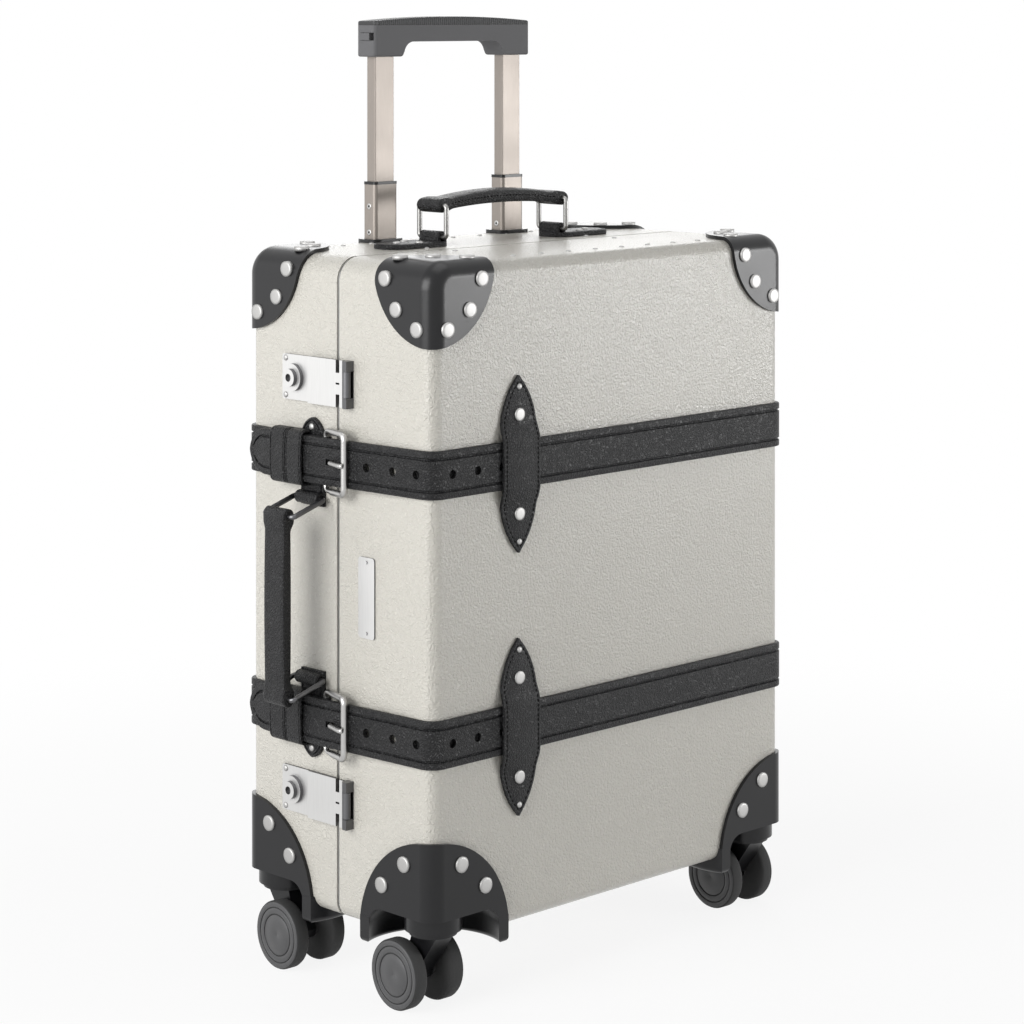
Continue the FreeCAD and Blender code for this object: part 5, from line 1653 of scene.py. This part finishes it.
@dataclass
class Casters:
    """Twin wheels with black treads and grey faces that are ringed by grooves."""

    inset: float = 19.5
    trail: float = 17.5
    radius: float = 25.5
    outer: float = 23.0
    inner: float = 11.5
    hub: float = 8.8
    bore: float = 3.02
    hub_radius: float = 6.5
    face: float = 22.2
    rings: tuple[tuple[float, float], ...] = ((0.0, 15.0), (15.9, 20.1), (20.9, 24.4))
    ring_foot: float = 0.6
    ring_lip: float = 0.2
    ring_bevel: float = 0.3
    inner_shoulder: tuple[tuple[float, float], ...] = ((0.0, 2.2), (0.6, 0.7), (2.2, 0.0))
    outer_shoulder: tuple[tuple[float, float], ...] = ((1.6, 0.0), (0.5, 0.5))
    face_drop: float = 1.0
    least_radius: float = 0.05
    steps: int = 64
    sharp: float = 50.0
    turns: dict[str, float] = field(default_factory=lambda: {
        "front_left": -2.0, "front_right": -2.0, "rear_left": 178.0, "rear_right": 178.0})

    def axis(self, name: str) -> tuple[Vector, Vector, Vector]:
        """Finds a caster's axle.

        Args:
            name: Which caster.

        Returns:
            Its middle, the way along it and the way of the trail.
        """
        x_side = -1 if name.endswith("left") else 1
        y_side = -1 if name.startswith("front") else 1
        turn = math.radians(self.turns[name])
        along = vec(math.cos(turn), math.sin(turn), 0)
        back = vec(-math.sin(turn), math.cos(turn), 0)
        swivel = vec(x_side * (CASE.width / 2 - self.inset), y_side * (CASE.depth / 2 - self.inset), self.radius)
        return swivel + back * self.trail, along, back

    def lathe(self, draft: Draft, name: str, profile: Pairs) -> None:
        """Adds a closed profile turned round a caster's axle.

        Args:
            draft: Where it is added.
            name: Which caster.
            profile: Pairs of place along the axle and radius.
        """
        middle, along, back = self.axis(name)
        rows = []
        for i in range(self.steps):
            angle = math.tau * i / self.steps
            way = back * math.cos(angle) + UP * math.sin(angle)
            rows.append([middle + along * x + way * r for x, r in profile])
        draft.loft(rows, round_trip=True)

    def tread(self, side: int) -> Pairs:
        """Draws one wheel's body, with rounded shoulders and a shallow channel.

        Args:
            side: Sign of the wheel's side.

        Returns:
            Its profile.
        """
        pairs = [(self.hub, self.bore), (self.hub, self.hub_radius), (self.inner, self.hub_radius)]
        pairs += [(self.inner + along, self.radius - drop) for along, drop in self.inner_shoulder]
        pairs += [(self.outer - along, self.radius - drop) for along, drop in self.outer_shoulder]
        pairs += [(self.face, self.radius - self.face_drop), (self.face, self.bore)]
        return [(side * x, radius) for x, radius in pairs]

    def disc(self, side: int, low: float, high: float) -> Pairs:
        """Draws one ring of a wheel's grey face.

        Args:
            side: Sign of the wheel's side.
            low: Inner radius.
            high: Outer radius.

        Returns:
            Its profile.
        """
        back = self.face - self.ring_foot
        bevel = self.ring_bevel
        pairs = [(back, low), (self.outer - self.ring_lip, low), (self.outer, low + bevel),
                 (self.outer, high - bevel), (self.outer - bevel, high), (back, high)]
        return [(side * x, max(radius, self.least_radius)) for x, radius in pairs]

    def build(self) -> None:
        """Builds the wheels and sets them on their bodies."""
        for name in self.turns:
            tread = Draft()
            face = Draft()
            for side in (-1, 1):
                self.lathe(tread, name, self.tread(side))
                for low, high in self.rings:
                    self.lathe(face, name, self.disc(side, low, high))
            made = join("wheels_" + name, [tread.piece("tread_" + name, WHEEL, self.sharp),
                                           face.piece("face_" + name, WHEEL_FACE, self.sharp)])
            set_on(made, "caster_wheels_" + name, "wheel_rubber", "caster_wheels_" + name)


KEEPERS = Keepers()
MOUNTS = Mounts()
TOP_GRIP = Grip("top_handle_grip", vec(0, 32.4, 572.5), RIGHT, BACK, 132.0, 25.0, rise=5.0)
SIDE_GRIP = Grip("side_handle_grip", vec(-227.24, 26.4, 284.28), vec(0, 0, -1), BACK, 134.5, 23.5, bordered=True)


# Camera, light and floor


@dataclass(frozen=True)
class Lamp:
    """A soft box: where it stands and points, in metres, its width and height, and its power in watts."""

    name: str
    place: tuple[float, float, float]
    aim: tuple[float, float, float]
    size: tuple[float, float]
    power: float

    def build(self) -> None:
        """Sets up the lamp."""
        data = bpy.data.lights.new(self.name, "AREA")
        data.shape = "RECTANGLE"
        data.size, data.size_y = self.size
        data.energy = self.power
        made = stand(self.name, data)
        made.location = self.place
        made.rotation_euler = (Vector(self.aim) - Vector(self.place)).to_track_quat("-Z", "Y").to_euler()


@dataclass
class Scene:
    """Camera, light and floor."""

    eye: tuple[float, float, float] = (-1619.57, -1635.53, 725.49)
    yaw: float = -44.514
    focal_px: float = 2927.22
    picture_px: float = 1024.0
    sensor: float = 36.0
    horizon_row: float = 8.467
    clip_end: float = 50.0
    ambient: float = 0.06
    ambient_colour: Colour = (0.94, 0.96, 1.0)
    floor_reach: float = 3000.0
    floor_fade: tuple[float, float] = (0.35, 1.1)
    floor_white: float = 0.88
    lamps: tuple[Lamp, ...] = (
        Lamp("left", (-1.0, 1.0, 0.62), (0, 0, 0.35), (1.4, 1.2), 2.5),
        Lamp("key", (-2.3, 0.0, 1.1), (0, 0, 0.3), (1.8, 1.6), 58),
        Lamp("front", (1.5, -1.45, 0.5), (0, 0, 0.55), (1.0, 0.55), 19),
        Lamp("top", (0.1, -0.3, 2.2), (0, 0, 0.4), (1.4, 1.4), 9),
        Lamp("back", (1.6, 2.0, 1.3), (0, 0, 0.4), (1.4, 1.4), 12),
    )

    def camera(self) -> None:
        """Sets the level camera at the photograph's place, with its picture shifted down."""
        data = bpy.data.cameras.new("camera")
        data.sensor_width = self.sensor
        data.lens = self.focal_px / self.picture_px * self.sensor
        data.shift_y = -(self.picture_px / 2 - self.horizon_row) / self.picture_px
        data.clip_end = self.clip_end
        made = stand("camera", data)
        made.location = to_frame(Vector(self.eye))
        made.rotation_euler = (math.pi / 2, 0, math.radians(self.yaw))
        bpy.context.scene.camera = made

    def world(self) -> None:
        """Lights the room softly and shows it white to the camera and in reflections."""
        world = bpy.data.worlds.new("room")
        bpy.context.scene.world = world
        world.use_nodes = True
        tree = world.node_tree
        tree.nodes.clear()
        soft = add(tree, "ShaderNodeBackground", {"Color": (*self.ambient_colour, 1), "Strength": self.ambient})
        seen = add(tree, "ShaderNodeBackground", {"Color": (1, 1, 1, 1)})
        mix = add(tree, "ShaderNodeMixShader", {"Fac": seen_directly(tree), 1: soft.outputs["Background"],
                                                2: seen.outputs["Background"]})
        add(tree, "ShaderNodeOutputWorld", {"Surface": mix.outputs["Shader"]})

    def floor(self) -> None:
        """Lays a white floor that keeps a soft shadow near the case and fades into the room."""
        draft = Draft()
        reach = self.floor_reach
        draft.points = [vec(x * reach, y * reach, 0) for x, y in ((-1, -1), (1, -1), (1, 1), (-1, 1))]
        draft.faces = [(0, 1, 2, 3)]
        floor = draft.piece("floor", FLOOR)
        tree = FLOOR.material().node_tree
        fade = add(tree, "ShaderNodeMapRange", {
            "Value": length_of(tree, coordinates(tree, "Object")), "From Min": self.floor_fade[0],
            "From Max": self.floor_fade[1], "To Min": self.floor_white}, interpolation_type="SMOOTHSTEP")
        share = calc(tree, "MULTIPLY", seen_directly(tree), fade.outputs["Result"])
        glow = add(tree, "ShaderNodeEmission", {})
        mix = add(tree, "ShaderNodeMixShader", {"Fac": share, 1: tree.nodes["Principled BSDF"].outputs["BSDF"],
                                                2: glow.outputs["Emission"]})
        feed(tree, tree.nodes["Material Output"], {"Surface": mix.outputs["Shader"]})

    def build(self) -> None:
        """Builds the whole stage."""
        self.camera()
        self.world()
        self.floor()
        for lamp in self.lamps:
            lamp.build()


FINISH_OF_SLOT: dict[str, Finish] = {
    "shell_board": BOARD, "rim_metal": RIM_METAL, "lining_cloth": LINING, "moulded_black": MOULDING,
    "strap_leather": LEATHER, "nickel": NICKEL, "satin_nickel": SATIN_NICKEL, "dark_metal": DARK_METAL,
    "tube_champagne": CHAMPAGNE, "grip_plastic": GRIP, "wheel_rubber": WHEEL,
}
FINISH_OF_NODE: dict[str, Finish] = {
    "hasp_upper": HASP_METAL, "hasp_lower": HASP_METAL, "lock_plates": LOCK_METAL,
    "lock_button_upper": LOCK_METAL, "lock_button_lower": LOCK_METAL, "trolley_grip_cap": GRIP_TOP,
    "name_plate": PLATE_METAL, "top_handle_loop_left": WIRE, "top_handle_loop_right": WIRE,
}


def dress_frame() -> None:
    """Gives every CAD node its own finish or that of its slot."""
    for part in frame["record"]["subparts"]:
        node = frame["nodes"][part["node"]]
        node.data.materials.clear()
        finish = FINISH_OF_NODE.get(part["node"], FINISH_OF_SLOT[part["material_slot"]])
        node.data.materials.append(finish.material())


def main() -> None:
    """Builds the scene in order."""
    logging.basicConfig(level=logging.INFO, format="%(message)s")
    bpy.context.scene.view_settings.view_transform = "Standard"
    Scene().build()
    dress_frame()
    for assembly in (STRAPS, KEEPERS, MOUNTS, TOP_GRIP, SIDE_GRIP, Rivets(), Casters()):
        assembly.build()


if __name__ == "__main__":
    main()
